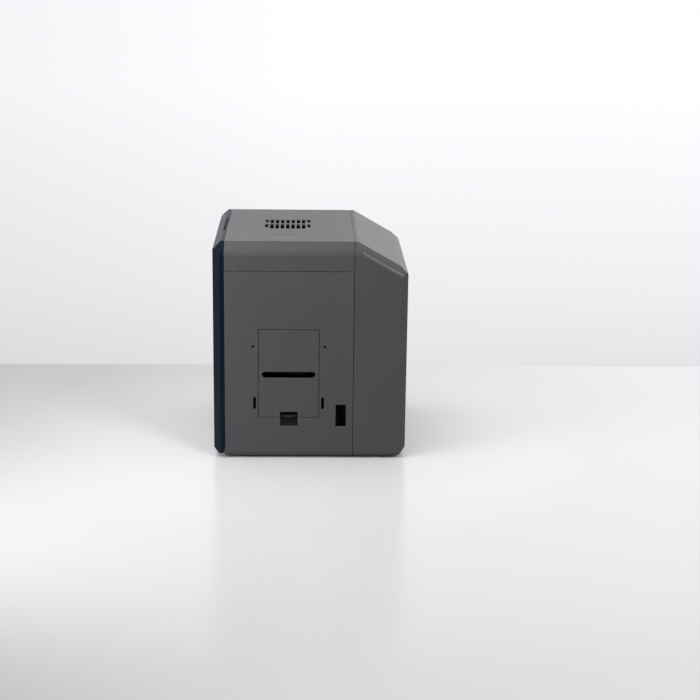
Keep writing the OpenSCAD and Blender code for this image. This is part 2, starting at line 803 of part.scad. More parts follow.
module front_door() {
    color(door_navy) {
        difference() {
            intersection() {
                envelope();
                block([-hw, front_y, door_hinge_z - door_foot_r], [hw, door_back_y, case_h]);
                union() {
                    shell(door_wall);
                    rod_x(-hw, hw, door_axis_y, door_hinge_z, door_foot_r);
                    block([pull_x - pull_w / 2 - 2, door_back_y - pull_t - 2, case_h - pull_h - 2],
                          [pull_x + pull_w / 2 + 2, door_back_y, case_h]);
                    outlet_block(2, front_y, door_back_y);
                    for (p = liner_posts) rod_y(front_y + 1, liner_y0, p.x, p.y, boss_r);
                    for (x = [board_low_x + 3.5, board_high_x - 4], z = [display_z - 17, display_z + 17])
                        rod_y(front_y + 1, board_front_y, x, z, 2.5);
                }
            }
            difference() {
                block([-hw - 1, door_axis_y, 0], [hw + 1, door_back_y + 1, door_hinge_z]);
                rod_x(-hw - 1, hw + 1, door_axis_y, door_hinge_z, door_foot_r);
            }
            both_sides() {
                block([door_hinge_x - tab_w / 2 - 0.4, door_axis_y - tab_half_t - 0.7, 0],
                      [door_hinge_x + tab_w / 2 + 0.4, door_back_y + 1, door_hinge_z + boss_r + 0.6]);
                rod_x(door_hinge_x - tab_w / 2 - 0.4, door_hinge_x + tab_w / 2 + 0.4,
                      door_axis_y, door_hinge_z, boss_r + 0.5);
                rod_x(door_hinge_x - tab_w / 2 - door_pin_l - 0.5, door_hinge_x + tab_w / 2 + door_pin_l + 0.5,
                      door_axis_y, door_hinge_z, door_pin_r + shaft_play);
            }
            rod_y(door_back_y - pull_t, door_back_y + 1, pull_x, case_h - pull_h + pull_r, pull_r);
            outlet_block(0, front_y - 1, door_back_y + 1);
            block([display_x - display_w / 2, front_y - 1, display_z - display_h / 2],
                  [display_x + display_w / 2, front_y + glass_t, display_z + display_h / 2]);
            block([display_x - display_w / 2 + bezel, front_y - 1, display_z - display_h / 2 + bezel],
                  [display_x + display_w / 2 - bezel, front_y + door_wall + 1, display_z + display_h / 2 - bezel]);
            for (x = button_xs) rod_y(front_y - 1, front_y + door_wall + 1, x, display_z, button_r + fit);
            rod_y(front_y - 1, front_y + door_wall + 1, power_x, display_z, power_r + fit);
        }
    }
}

module door_liner() {
    color(dark) {
        difference() {
            intersection() {
                envelope(door_wall + fit);
                block([-hw, liner_y0, liner_z], [hw, liner_y1, case_h]);
            }
            block([pull_x - pull_w / 2 - 2 - fit, liner_y0 - 1, case_h - pull_h - 2 - fit],
                  [pull_x + pull_w / 2 + 2 + fit, door_back_y, case_h]);
            outlet_block(2 + fit, liner_y0 - 1, door_back_y);
        }
    }
}

module display_window() {
    color("#0b0c0e")
        block([display_x - display_w / 2 + fit / 2, front_y, display_z - display_h / 2 + fit / 2],
              [display_x + display_w / 2 - fit / 2, front_y + glass_t, display_z + display_h / 2 - fit / 2]);
}

module display_board() {
    color(green) {
        block([board_low_x, board_front_y, display_z - 21], [board_high_x, board_front_y + board_t, display_z + 21]);
        block([display_x - display_w / 2 - 1, front_y + door_wall, display_z - display_h / 2 + 1],
              [display_x + display_w / 2 + 1, board_front_y, display_z + display_h / 2 - 1]);
        for (x = button_xs) rod_y(board_front_y - 1.5, board_front_y, x, display_z, 2.4);
        block([power_x - 12, board_front_y, display_z - 12], [power_x + 12, board_front_y + board_t, display_z + 12]);
        rod_y(board_front_y - 1.5, board_front_y, power_x, display_z, 2.4);
        for (z = [display_z - 9, display_z + 9])
            rod_y(front_y + door_wall, board_front_y, power_x - 9.5, z, 2);
    }
}

module button_cap(x, r) {
    rod_y(front_y, front_y + cap_l, x, display_z, r);
    rod_y(front_y + door_wall + fit, front_y + door_wall + fit + 1.2, x, display_z, r + skirt);
}

module button_ok() color(pale) button_cap(button_xs[0], button_r);
module button_menu() color(pale) button_cap(button_xs[1], button_r);
module power_button() color(metal) button_cap(power_x, power_r);

// Frames of folded sheet. Shafts run in their bores.
front_y0 = front_frame_y - sheet;
rear_y1 = rear_frame_y + sheet;
frame_x = inner_x - 1.2;
front_top = path_z + 24;
rear_top = cover_z - 6;
motor_at = [heat_x - 15, 85];
pulley_r = 6;
motor_pulley_r = 8;
belt_y0 = rear_frame_y - 9;
belt_y1 = rear_frame_y - 3;
gear_r = gear_m * gear_teeth / 2;
pinion_r = gear_m * pinion_teeth / 2;
gear_y0 = rear_y1 + 2;
gear_y1 = gear_y0 + 6;
spool_motor_y = gear_y1 + 2;
ribbon_motor_at = ribbon_takeup_at + [0, gear_r + pinion_r];
film_motor_at = film_takeup_at + [0, gear_r + pinion_r];
hub_r = 5;
hole_r = 11;
stub_r = 4;
motor_shaft_r = 2.5;
head_pivot = [ribbon_supply_at.x - full_r - 12, case_h - 72];
strip_y0 = rear_frame_y - 3.7;
strip_y1 = rear_frame_y - 1.7;
rail_z = film_takeup_at.y - takeup_r - 6;
ribbon_rail_z = ribbon_takeup_at.y - takeup_r - 5.5;

module bore(x, z, r) rod_y(front_y0 - 8, gear_y1, x, z, r + shaft_play);

// A frame stands on the base pan and clears the returns of the side panels
module frame_blank(y0, y1, top) {
    block([4 - pan_x, y0, floor_z], [pan_x - 4, y1, top]);
    block([-frame_x, y0, ledge_z + base_r], [frame_x, y1, top]);
}

module roller_bores() {
    for (x = [feed_x, clean_x, heat_x, drive_2_x]) bore(x, low_axis_z, shaft_r);
    for (x = [clean_x, drive_2_x]) bore(x, high_axis_z, shaft_r);
    bore(flipper_x, path_z, stub_r);
}

module front_frame() {
    color(metal) {
        difference() {
            union() {
                frame_blank(front_y0, front_frame_y, front_top);
                block([-frame_x + 20, front_y0 - 14, floor_z], [outlet_x - outlet_w / 2 - 8, front_y0, floor_z + sheet]);
                both_sides() for (z = [30, 108]) {
                    block([inner_x - 5, front_y0 - 12, z], [inner_x, front_y0 - 3, z + 16]);
                    block([inner_x - 5, front_y0 - 3, z], [inner_x - 2, front_y0, z + 16]);
                }
            }
            roller_bores();
            block([outlet_x - outlet_w / 2 - 6, front_y0 - 1, outlet_z0 - 5],
                  [outlet_x + outlet_w / 2 + 6, front_frame_y + 1, outlet_z0 + outlet_h + 1]);
            prism_y(front_y0 - 1, front_frame_y + 1)
                polygon([
                    [heat_x - 13, path_z - 2.5],
                    [heat_x + 13, path_z - 2.5],
                    [heat_x + 32, front_top + 1],
                    [heat_x - 39, front_top + 1]
                ]);
            for (x = [0:2], z = [0, 1]) rod_y(front_y0 - 1, front_frame_y + 1, feed_x - 25 + x * 30, 45 + z * 34, hole_r);
        }
    }
}

module spool_motor_posts(at) {
    for (x = [-18, 18], z = [-2, 18]) rod_y(rear_y1, spool_motor_y, at.x + x, at.y + z, 2.5);
}

module rear_frame() {
    color(metal) {
        difference() {
            union() {
                frame_blank(rear_frame_y, rear_y1, rear_top);
                block([-frame_x + 20, rear_frame_y, floor_z], [frame_x - 40, rear_y1 + 12, floor_z + sheet]);
                block([frame_x - 1, rear_frame_y, hatch_top + 5], [inner_x, rear_y1 + 12, rear_top - 5]);
                block([-inner_x, rear_frame_y, 60], [-frame_x + 1, rear_y1 + 12, rear_top - 5]);
                for (p = [film_supply_at, ribbon_supply_at]) rod_y(rear_frame_y - 16, rear_frame_y, p.x, p.y, dog_r);
                rod_y(rear_frame_y - 7, rear_frame_y, heat_x, heat_z, shaft_r + 3);
                rod_y(rear_frame_y - 7, rear_frame_y, platen_x, platen_z, shaft_r + 3);
                rod_y(front_frame_y + 8, rear_frame_y, head_pivot.x, head_pivot.y, shaft_r);
                spool_motor_posts(ribbon_motor_at);
                spool_motor_posts(film_motor_at);
                for (x = [-high_screw_x, high_screw_x]) rod_y(rear_y1, inner_rear_y, x, high_screw_z, hub_r);
                block([film_x + 6, front_frame_y + 4, rail_z], [film_x + 24, rear_frame_y, rail_z + 3]);
                block([ribbon_takeup_at.x - 14, front_frame_y + 4, ribbon_rail_z - 3],
                      [ribbon_takeup_at.x + 18, rear_frame_y, ribbon_rail_z]);
            }
            roller_bores();
            bore(heat_x, heat_z, shaft_r);
            bore(platen_x, platen_z, shaft_r);
            bore(ribbon_takeup_at.x, ribbon_takeup_at.y, hub_r);
            bore(film_takeup_at.x, film_takeup_at.y, hub_r);
            rod_y(rear_frame_y - 1, rear_y1 + 1, motor_at.x, motor_at.y, motor_pulley_r + 3);
            for (x = [-high_screw_x, high_screw_x])
                rod_y(inner_rear_y - 12, inner_rear_y + 1, x, high_screw_z, screw_r + 0.1);
            for (z = [0:2]) rod_y(rear_frame_y - 1, rear_y1 + 1, 34 - frame_x, 50 + z * 30, hole_r);
            for (x = [0:2]) rod_y(rear_frame_y - 1, rear_y1 + 1, 32 - frame_x + x * 28, case_h - 95, hole_r);
        }
    }
}

// Side guides of the card path, hung from the frames
guide_y0 = card_y - card_w / 2 - 3;
guide_y1 = card_y + card_w / 2 + 3;
guide_x0 = clean_x - 18;
guide_x1 = drive_2_x + 9;

module card_guides() {
    color(dark) {
        difference() {
            union() {
                block([guide_x0, guide_y0, path_z - 4.8], [guide_x1, guide_y0 + 1.6, path_z + 4.8]);
                block([guide_x0, guide_y1 - 1.6, path_z - 4.8], [guide_x1, guide_y1, path_z + 4.8]);
            }
            block([heat_x - heat_r, guide_y0 - 1, path_z + 0.2], [heat_x + heat_r, guide_y1 + 1, path_z + 5]);
        }
        for (x = [clean_x + 14, drive_2_x - 18]) {
            block([x, front_frame_y, path_z - 4.4], [x + 6, guide_y0, path_z - 2.8]);
            block([x, guide_y1, path_z + 1.2], [x + 6, rear_frame_y, path_z + 4]);
        }
    }
}

// Hopper for blank cards with its weight plate
hopper_x1 = feed_x + 21.6;
hopper_x0 = hopper_x1 - card_l - 1;
hopper_z0 = path_z - 2.4;
hopper_z1 = case_h - 58;
hopper_wall = 2;
hopper_y0 = card_y - card_w / 2 - fit;
hopper_y1 = card_y + card_w / 2 + fit;
plate_z = path_z - 0.1;

module card_hopper() {
    color(dark) {
        difference() {
            block([hopper_x0 - hopper_wall, hopper_y0 - hopper_wall, hopper_z0],
                  [hopper_x1 + hopper_wall, hopper_y1 + hopper_wall, hopper_z1]);
            block([hopper_x0, hopper_y0, hopper_z0 + 2], [hopper_x1, hopper_y1, hopper_z1 + 1]);
            block([hopper_x0 + 10, hopper_y0 - hopper_wall - 1, hopper_z0 - 1],
                  [hopper_x1 - 10, hopper_y0 + 1, hopper_z1 + 1]);
            block([hopper_x0 + 8, hopper_y0 - hopper_wall - 1, hopper_z0 - 1],
                  [hopper_x1 - 6, hopper_y1 - 4, hopper_z0 + 3]);
            block([feed_x - 10, hopper_y0, hopper_z0 - 1],
                  [feed_x + 10, hopper_y1 + hopper_wall + 1, hopper_z0 + 3]);
            block([hopper_x1 - 1, hopper_y0, hopper_z0 + 2], [hopper_x1 + hopper_wall + 1, hopper_y1, path_z + 1]);
        }
        for (x = [hopper_x0, hopper_x1 - 10]) {
            block([x, hopper_y1 + hopper_wall, path_z + 64], [x + 10, rear_frame_y, path_z + 70]);
            block([x, front_frame_y, path_z + 6], [x + 9, hopper_y0 - hopper_wall, path_z + 12]);
        }
    }
}

module hopper_plate() {
    color(metal) {
        block([hopper_x0 + fit, hopper_y0 + fit, plate_z], [hopper_x1 - fit, hopper_y1 - fit, plate_z + 3]);
        block([feed_x - 36, hopper_y0 - 12, plate_z], [feed_x - 6, hopper_y0 + 1, plate_z + 3]);
        block([feed_x - 36, hopper_y0 - 12, plate_z + 3], [feed_x - 6, hopper_y0 - 10, plate_z + 15]);
    }
}

// Tray for finished cards
tray_y0 = body_y + 3;
tray_y1 = rear_frame_y - fit;
tray_wall = 2;

module output_tray() {
    color(dark) {
        difference() {
            block([outlet_x - outlet_w / 2 - 5, tray_y0, outlet_z0 - 4],
                  [outlet_x + outlet_w / 2 + 3.5, tray_y1, outlet_z0 + outlet_h]);
            block([outlet_x - outlet_w / 2 - 5 + tray_wall, tray_y0 - 1, outlet_z0 - 2],
                  [outlet_x + outlet_w / 2 + 3.5 - tray_wall, tray_y1 - tray_wall, outlet_z0 + outlet_h + 1]);
        }
        for (y = [front_y0 - 20, rear_frame_y - 20])
            block([outlet_x - 20, y, floor_z], [outlet_x + 20, y + 3, outlet_z0 - 4]);
    }
}

// Rollers and their shafts
module roller(x, z, r, has_pulley = true) {
    color(rubber) rod_y(card_y - roller_half, card_y + roller_half, x, z, r);
    color(metal) {
        rod_y(front_y0 - 1.5, rear_y1 + 1, x, z, shaft_r);
        if (has_pulley) rod_y(belt_y0, belt_y1, x, z, pulley_r);
    }
}

module collared_roller(x, z, r) {
    color(pale) rod_y(card_y - web_w / 2, card_y + web_w / 2, x, z, r);
    color(metal) {
        rod_y(card_y - web_w / 2 - 2, rear_y1 + 3, x, z, shaft_r);
        rod_y(rear_y1 + fit, rear_y1 + 1.5, x, z, shaft_r + 1.5);
    }
}

module feed_roller() roller(feed_x, low_axis_z, roller_r);
module cleaning_roller() color("#8fb7c9") roller(clean_x, high_axis_z, roller_r, false);
module drive_roller_1() roller(clean_x, low_axis_z, roller_r);
module drive_roller_2() roller(drive_2_x, low_axis_z, roller_r);
module pinch_roller() roller(drive_2_x, high_axis_z, roller_r, false);

module transfer_platen() roller(heat_x, low_axis_z, roller_r);

module heat_roller() collared_roller(heat_x, heat_z, heat_r);
module print_platen() collared_roller(platen_x, platen_z, platen_r);

// Print head on its pivoting bracket
head_x0 = ribbon_line_x + web_t / 2 + 0.35;
head_half = card_w / 2 + 2;

module print_head() {
    color(pale) {
        block([head_x0, card_y - head_half, platen_z - 3], [head_x0 + 6, card_y + head_half, platen_z + 3]);
        block([head_x0 + 6, card_y - head_half, platen_z - 8], [head_x0 + 9, card_y + head_half, platen_z + 12]);
        for (i = [0:5])
            block([head_x0 + 9, card_y - head_half, platen_z - 8 + i * 3.6],
                  [head_x0 + 17, card_y + head_half, platen_z - 6.6 + i * 3.6]);
    }
}

bracket_y0 = card_y - head_half - 2;
bracket_y1 = card_y + head_half + 2;

module bracket_arm(y0) {
    difference() {
        union() {
            prism_y(y0, y0 + 2)
                polygon([
                    [head_x0 + 6, platen_z - 8],
                    [head_x0 + 18, platen_z - 8],
                    [head_pivot.x + 4, head_pivot.y - 3],
                    [head_pivot.x - 4, head_pivot.y + 3],
                    [head_x0 + 6, platen_z + 12]
                ]);
            rod_y(y0, y0 + 2, head_pivot.x, head_pivot.y, shaft_r + 3);
        }
        rod_y(y0 - 1, y0 + 3, head_pivot.x, head_pivot.y, shaft_r + shaft_play);
    }
}

module head_bracket() {
    color(metal) {
        bracket_arm(bracket_y0);
        bracket_arm(bracket_y1 - 2);
        block([head_x0 + 6, bracket_y0, platen_z + 12], [head_x0 + 17, bracket_y1, platen_z + 13.6]);
    }
}

// Spools run on the cassette's stubs in front and on a dog or stud behind
spool_y0 = front_frame_y + 5;
spool_y1 = rear_frame_y - 4.2;
dog_y = rear_frame_y - 16;
stub_y1 = spool_y0 + 11;

module spool(at, r, shade) {
    color(shade) rod_y_tube(card_y - web_w / 2, card_y + web_w / 2, at, r, core_r - 0.5);
    color(pale) difference() {
        rod_y(spool_y0, spool_y1, at.x, at.y, core_r);
        rod_y(dog_y - 1, spool_y1 + 1, at.x, at.y, dog_r + shaft_play);
        rod_y(spool_y0 - 1, dog_y, at.x, at.y, hub_r + shaft_play);
    }
}

module rod_y_tube(y0, y1, at, r, r_in) {
    difference() {
        rod_y(y0, y1, at.x, at.y, r);
        rod_y(y0 - 1, y1 + 1, at.x, at.y, r_in);
    }
}

module film_supply() spool(film_supply_at, full_r, "#c9c6bd");
module film_takeup() spool(film_takeup_at, takeup_r, "#b8b5ad");
module ribbon_supply() spool(ribbon_supply_at, full_r, "#5a3f6b");
module ribbon_takeup() spool(ribbon_takeup_at, takeup_r, "#3a3540");

film_run = [
    [film_supply_at, full_r + web_reach, 1],
    [[platen_x, platen_z], platen_r + web_reach, 1],
    [film_guide_at, film_guide_r + web_reach, 1],
    [[heat_x, heat_z], heat_r + web_reach, 1],
    [film_takeup_at, takeup_r + web_reach, 1]
];
ribbon_run = [
    [ribbon_supply_at, full_r + web_reach, -1],
    [[ribbon_guide_x, ribbon_guide_zs[0]], ribbon_guide_r + web_reach, -1],
    [[ribbon_guide_x, ribbon_guide_zs[1]], ribbon_guide_r + web_reach, -1],
    [ribbon_takeup_at, takeup_r + web_reach, -1]
];

module film_web() color("#d8d2c4") prism_y(card_y - web_w / 2, card_y + web_w / 2) open_band(film_run, web_t);
module ribbon_web() color("#c78b2c") prism_y(card_y - web_w / 2, card_y + web_w / 2) open_band(ribbon_run, web_t);

plate_y0 = front_frame_y - 1;
plate_y1 = front_frame_y + 2;
bar_t = 2;

module cassette_stub(at) rod_y(plate_y1 - 1, stub_y1, at.x, at.y, hub_r);

module film_cassette() {
    color("#3c6ea0") {
        block([film_x - full_r - 4, plate_y0, film_takeup_at.y - takeup_r - 3],
              [film_x + full_r + 6, plate_y1, film_supply_at.y + full_r + 6]);
        block([film_x - full_r - 4, plate_y0, film_guide_at.y - 8],
              [film_guide_at.x + 6, plate_y1, film_guide_at.y + 8]);
        for (at = [film_supply_at, film_takeup_at]) cassette_stub(at);
        rod_y(plate_y1 - 1, card_y + web_w / 2 + 3, film_guide_at.x, film_guide_at.y, film_guide_r);
        block([film_x + 8, plate_y1 - 1, rail_z + 3], [film_x + 22, strip_y1, rail_z + 3 + bar_t]);
        block([film_x - 8, plate_y1 - 1, film_supply_at.y + full_r + 2.5],
              [film_x + 8, strip_y1, film_supply_at.y + full_r + 2.5 + bar_t]);
        difference() {
            block([film_x - 15, strip_y0, rail_z + 3], [film_x + 15, strip_y1, film_supply_at.y + full_r + 4.5]);
            for (at = [film_supply_at, film_takeup_at])
                rod_y(strip_y0 - 1, strip_y1 + 1, at.x, at.y, dog_r + 0.5);
        }
        block([film_x - 2, plate_y0 - 14, film_supply_at.y - 48], [film_x + 4, plate_y0 + 1, film_supply_at.y - 20]);
    }
}

module ribbon_cassette() {
    color("#3c6ea0") {
        difference() {
            block([ribbon_guide_x - ribbon_guide_r - 0.4, plate_y0, ribbon_rail_z],
                  [ribbon_supply_at.x + 22, plate_y1, ribbon_supply_at.y + full_r + 6]);
            block([ribbon_guide_x + 12, plate_y0 - 1, ribbon_takeup_at.y + 21],
                  [ribbon_supply_at.x - 14, plate_y1 + 1, ribbon_supply_at.y - 21]);
        }
        for (at = [ribbon_supply_at, ribbon_takeup_at]) cassette_stub(at);
        for (z = ribbon_guide_zs)
            rod_y(plate_y1 - 1, card_y + web_w / 2 + 3, ribbon_guide_x, z, ribbon_guide_r);
        x = ribbon_supply_at.x;
        block([x - 8, plate_y1 - 1, ribbon_rail_z], [x + 16, strip_y1, ribbon_rail_z + bar_t]);
        block([x - 8, plate_y1 - 1, ribbon_supply_at.y + full_r + 2.5],
              [x + 8, strip_y1, ribbon_supply_at.y + full_r + 2.5 + bar_t]);
        difference() {
            block([x - 15, strip_y0, ribbon_rail_z], [x + 15, strip_y1, ribbon_supply_at.y + full_r + 4.5]);
            for (at = [ribbon_supply_at, ribbon_takeup_at])
                rod_y(strip_y0 - 1, strip_y1 + 1, at.x, at.y, dog_r + 0.5);
        }
        block([x - 3, plate_y0 - 14, ribbon_supply_at.y - 50], [x + 3, plate_y0 + 1, ribbon_supply_at.y - 22]);
    }
}

// Card flipper
module flipper() {
    color(dark) {
        for (s = [-1, 1]) {
            z0 = path_z + s * 1.4 + (s < 0 ? -2 : 0);
            block([flipper_x - flip_half, card_y - card_w / 2 - 1, z0],
                  [flipper_x + flip_half, card_y + card_w / 2 + 1, z0 + 2]);
        }
        for (y = [card_y - card_w / 2 - 3, card_y + card_w / 2 + 1]) {
            block([flipper_x - flip_half, y, path_z - 3.4], [flipper_x + flip_half, y + 2, path_z + 3.4]);
            rod_y(y, y + 2, flipper_x, path_z, 12);
        }
        rod_y(front_y0 - 1.5, card_y - card_w / 2 - 2, flipper_x, path_z, stub_r);
        rod_y(card_y + card_w / 2 + 2, rear_y1 + 8, flipper_x, path_z, stub_r);
    }
}

// Motors, pulleys, belt and gears
module motor(at, w, y0, l, bore_r) {
    c = w / 8;
    color(dark) difference() {
        prism_y(y0, y0 + l)
            polygon([for (q = [[1, 0], [0, 1], [-1, 0], [0, -1]])
                let (p = [-q.y, q.x], corner = at + (q + p) * w / 2)
                each [corner - p * c, corner - q * c]]);
        rod_y(y0 - 1, y0 + 14, at.x, at.y, bore_r + shaft_play);
    }
}

module flipper_motor() motor([flipper_x, path_z], 35, rear_y1, motor_l, stub_r);
module transport_motor() motor(motor_at, motor_w, rear_y1, motor_l, motor_shaft_r);
module ribbon_motor() motor(ribbon_motor_at, motor_w, spool_motor_y, motor_l, motor_shaft_r);
module film_motor() motor(film_motor_at, motor_w, spool_motor_y, motor_l, motor_shaft_r);

module motor_pulley() {
    color(metal) {
        rod_y(belt_y0, belt_y1, motor_at.x, motor_at.y, motor_pulley_r);
        rod_y(belt_y0 - 1, rear_y1 + 12, motor_at.x, motor_at.y, motor_shaft_r);
    }
}

belt_reach = fit + belt_t / 2;
belt_wheels = [
    [[feed_x, low_axis_z], pulley_r + belt_reach, 1],
    [[drive_2_x, low_axis_z], pulley_r + belt_reach, 1],
    [motor_at, motor_pulley_r + belt_reach, 1]
];

module drive_belt() color(rubber) prism_y(belt_y0 + 0.2, belt_y1 - 0.2) closed_band(belt_wheels, belt_t);

// Straight-sided teeth with backlash. Tooth 0 points along angle.
function tooth_points(n, angle) = [
    for (i = [0:n - 1], k = [[-1, 0], [-0.5, 1], [0.5, 1], [1, 0]])
        let (a = angle + 360 / n * i + k[0] * 80 / n * (k[1] == 0 ? 1.25 : 0.8),
             r = gear_m * (n / 2 + (k[1] == 0 ? -1.2 : 0.8)))
        [r * cos(a), r * sin(a)]
];

module gear(at, n, angle, y0, y1) {
    translate([at.x, 0, at.y]) prism_y(y0, y1) polygon(tooth_points(n, angle));
}

module hub(at) {
    color(pale) {
        gear(at, gear_teeth, 90 + 180 / gear_teeth, gear_y0, gear_y1);
        rod_y(rear_frame_y - 1, gear_y0 + 1, at.x, at.y, hub_r);
        rod_y(dog_y, rear_frame_y - 0.5, at.x, at.y, dog_r);
    }
}

module pinion(at) {
    color(brass) {
        gear(at, pinion_teeth, -90, gear_y0, gear_y1);
        rod_y(gear_y0, spool_motor_y + 12, at.x, at.y, motor_shaft_r);
    }
}

module ribbon_hub() hub(ribbon_takeup_at);
module film_hub() hub(film_takeup_at);
module ribbon_pinion() pinion(ribbon_motor_at);
module film_pinion() pinion(film_motor_at);

// Electronics
module main_board() {
    color(green) block([board_x, board_y0, board_z0], [board_x + board_t, board_y1, board_z1]);
    color(metal) for (i = [0:2])
        difference() {
            block([port_x0, board_y1 - 16, port_zs[i]], [board_x, rear_y - 0.5, port_zs[i] + port_hs[i]]);
            block([port_x0 + 2, rear_y - 11, port_zs[i] + 2], [board_x - 2, rear_y, port_zs[i] + port_hs[i] - 2]);
        }
    color(dark) {
        block([board_x - 3, 60, 90], [board_x, 84, 114]);
        block([board_x - 11, 50, 40], [board_x, 56, 70]);
        for (y = [68, 80, 92]) rod_x(board_x - 14, board_x, y, 50, 5);
    }
}

psu_x0 = 4 - pan_x;
psu_x1 = psu_x0 + 78;
psu_y0 = rear_y1 + 18;
psu_y1 = inner_rear_y - 31.2;
psu_top = floor_z + 46;
psu_slots = floor((psu_y1 - psu_y0 - 20) / 8);

module power_supply() {
    color(metal) {
        difference() {
            block([psu_x0, psu_y0, floor_z], [psu_x1, psu_y1, psu_top]);
            for (i = [0:psu_slots - 1])
                block([psu_x0 + 10, psu_y0 + 12 + i * 8, psu_top - 1.5], [psu_x1 - 10, psu_y0 + 15 + i * 8, psu_top + 1]);
        }
    }
}

module mains_inlet() {
    color(rubber) {
        difference() {
            union() {
                block([socket_x - inlet_w / 2 + fit / 2, inner_rear_y - 22, inlet_z - inlet_h / 2 + fit / 2],
                      [socket_x + inlet_w / 2 - fit / 2, rear_y - 0.3, inlet_z + inlet_h / 2 - fit / 2]);
                block([socket_x - inlet_w / 2 - 3, inner_rear_y - 2, inlet_z - inlet_h / 2 - 3],
                      [socket_x + inlet_w / 2 + 3, inner_rear_y, inlet_z + inlet_h / 2 + 3]);
            }
            block([socket_x - inlet_w / 2 + 2, inner_rear_y - 16, inlet_z - inlet_h / 2 + 2],
                  [socket_x + inlet_w / 2 - 2, rear_y, inlet_z + inlet_h / 2 - 2]);
        }
        for (x = [-7, 0, 7])
            block([socket_x + x - 1, inner_rear_y - 16.5, inlet_z - 2 + (x == 0 ? 3 : 0)],
                  [socket_x + x + 1, inner_rear_y - 2, inlet_z + 2 + (x == 0 ? 3 : 0)]);
        difference() {
            union() {
                block([socket_x - switch_w / 2 - 0.8, inner_rear_y - 8, switch_z - switch_h / 2 - 0.8],
                      [socket_x + switch_w / 2 + 0.8, rear_y - 0.3, switch_z + switch_h / 2 + 0.8]);
                block([socket_x - switch_w / 2 - 3, inner_rear_y - 2, inlet_z + inlet_h / 2 + 2],
                      [socket_x + switch_w / 2 + 3, inner_rear_y, switch_z + switch_h / 2 + 3]);
            }
            block([socket_x - switch_w / 2 + 1.6, inner_rear_y - 9, switch_z - switch_h / 2 + 1.4],
                  [socket_x + switch_w / 2 - 1.6, rear_y, switch_z + switch_h / 2 - 1.4]);
        }
        rod_x(socket_x - switch_w / 2, socket_x + switch_w / 2, rocker_y - 2, switch_z, 1);
    }
}

// Rocker in a frame that is clipped into the housing with the inlet
rocker_y = inner_rear_y - 1;
rocker_l = switch_h - 5;

module power_switch() {
    color(rubber) {
        translate([0, rocker_y - 2, switch_z]) rotate([switch_swing, 0, 0]) difference() {
            prism_x(socket_x - switch_w / 2 + 2, socket_x + switch_w / 2 - 2)
                polygon([
                    [-3, 2 - rocker_l / 2],
                    [-3, rocker_l / 2 - 2],
                    [4, rocker_l / 2],
                    [3, 0],
                    [4, -rocker_l / 2]
                ]);
            rod_x(socket_x - switch_w, socket_x + switch_w, 0, 0, 1 + shaft_play);
        }
    }
}

module fan_housing() {
    color(rubber) {
        difference() {
            block([fan_x - fan_w / 2, inner_rear_y - fan_t, fan_z - fan_w / 2],
                  [fan_x + fan_w / 2, inner_rear_y, fan_z + fan_w / 2]);
            rod_y(inner_rear_y - fan_t - 1, inner_rear_y + 1, fan_x, fan_z, fan_w / 2 - 2);
        }
        rod_y(inner_rear_y - 3, inner_rear_y, fan_x, fan_z, 12);
        for (a = [45, 135])
            translate([fan_x, 0, fan_z]) rotate([0, a, 0])
                block([-fan_w / 2 + 1, inner_rear_y - 3, -1.5], [fan_w / 2 - 1, inner_rear_y, 1.5]);
        rod_y(inner_rear_y - 12, inner_rear_y - 2, fan_x, fan_z, 1.5);
    }
}

module fan_rotor() {
    color(dark) {
        difference() {
            rod_y(inner_rear_y - fan_t + 2, inner_rear_y - 4, fan_x, fan_z, 12);
            rod_y(inner_rear_y - fan_t + 5, inner_rear_y, fan_x, fan_z, 1.5 + shaft_play);
        }
        for (a = [0:360 / 7:359])
            translate([fan_x, inner_rear_y - fan_t / 2 - 1, fan_z]) rotate([0, a, 0]) rotate([0, 0, 32])
                block([-1, -9, 11], [1, 9, fan_w / 2 - 4]);
    }
}

right_panel();
left_panel();
rear_housing();
base_pan();
feet();
rear_screws();
front_door();
door_liner();
display_window();
display_board();
button_ok();
button_menu();
power_button();
top_cover();
side_hatch();
hatch_latch();
dock_connector();
front_frame();
rear_frame();
card_guides();
card_hopper();
hopper_plate();
output_tray();
feed_roller();
cleaning_roller();
drive_roller_1();
drive_roller_2();
pinch_roller();
transfer_platen();
heat_roller();
print_platen();
print_head();
head_bracket();
film_cassette();
film_supply();
film_takeup();
film_web();
ribbon_cassette();
ribbon_supply();
ribbon_takeup();
ribbon_web();
flipper();
flipper_motor();
transport_motor();
motor_pulley();
drive_belt();
ribbon_motor();
ribbon_pinion();
ribbon_hub();
film_motor();
film_pinion();
film_hub();
main_board();
power_supply();
mains_inlet();
power_switch();
fan_housing();
fan_rotor();
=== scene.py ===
"""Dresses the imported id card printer: soft moulded edges, finishes for every piece, and a plain studio."""
import json
import math

import bmesh
import bpy
from mathutils import Matrix, Vector

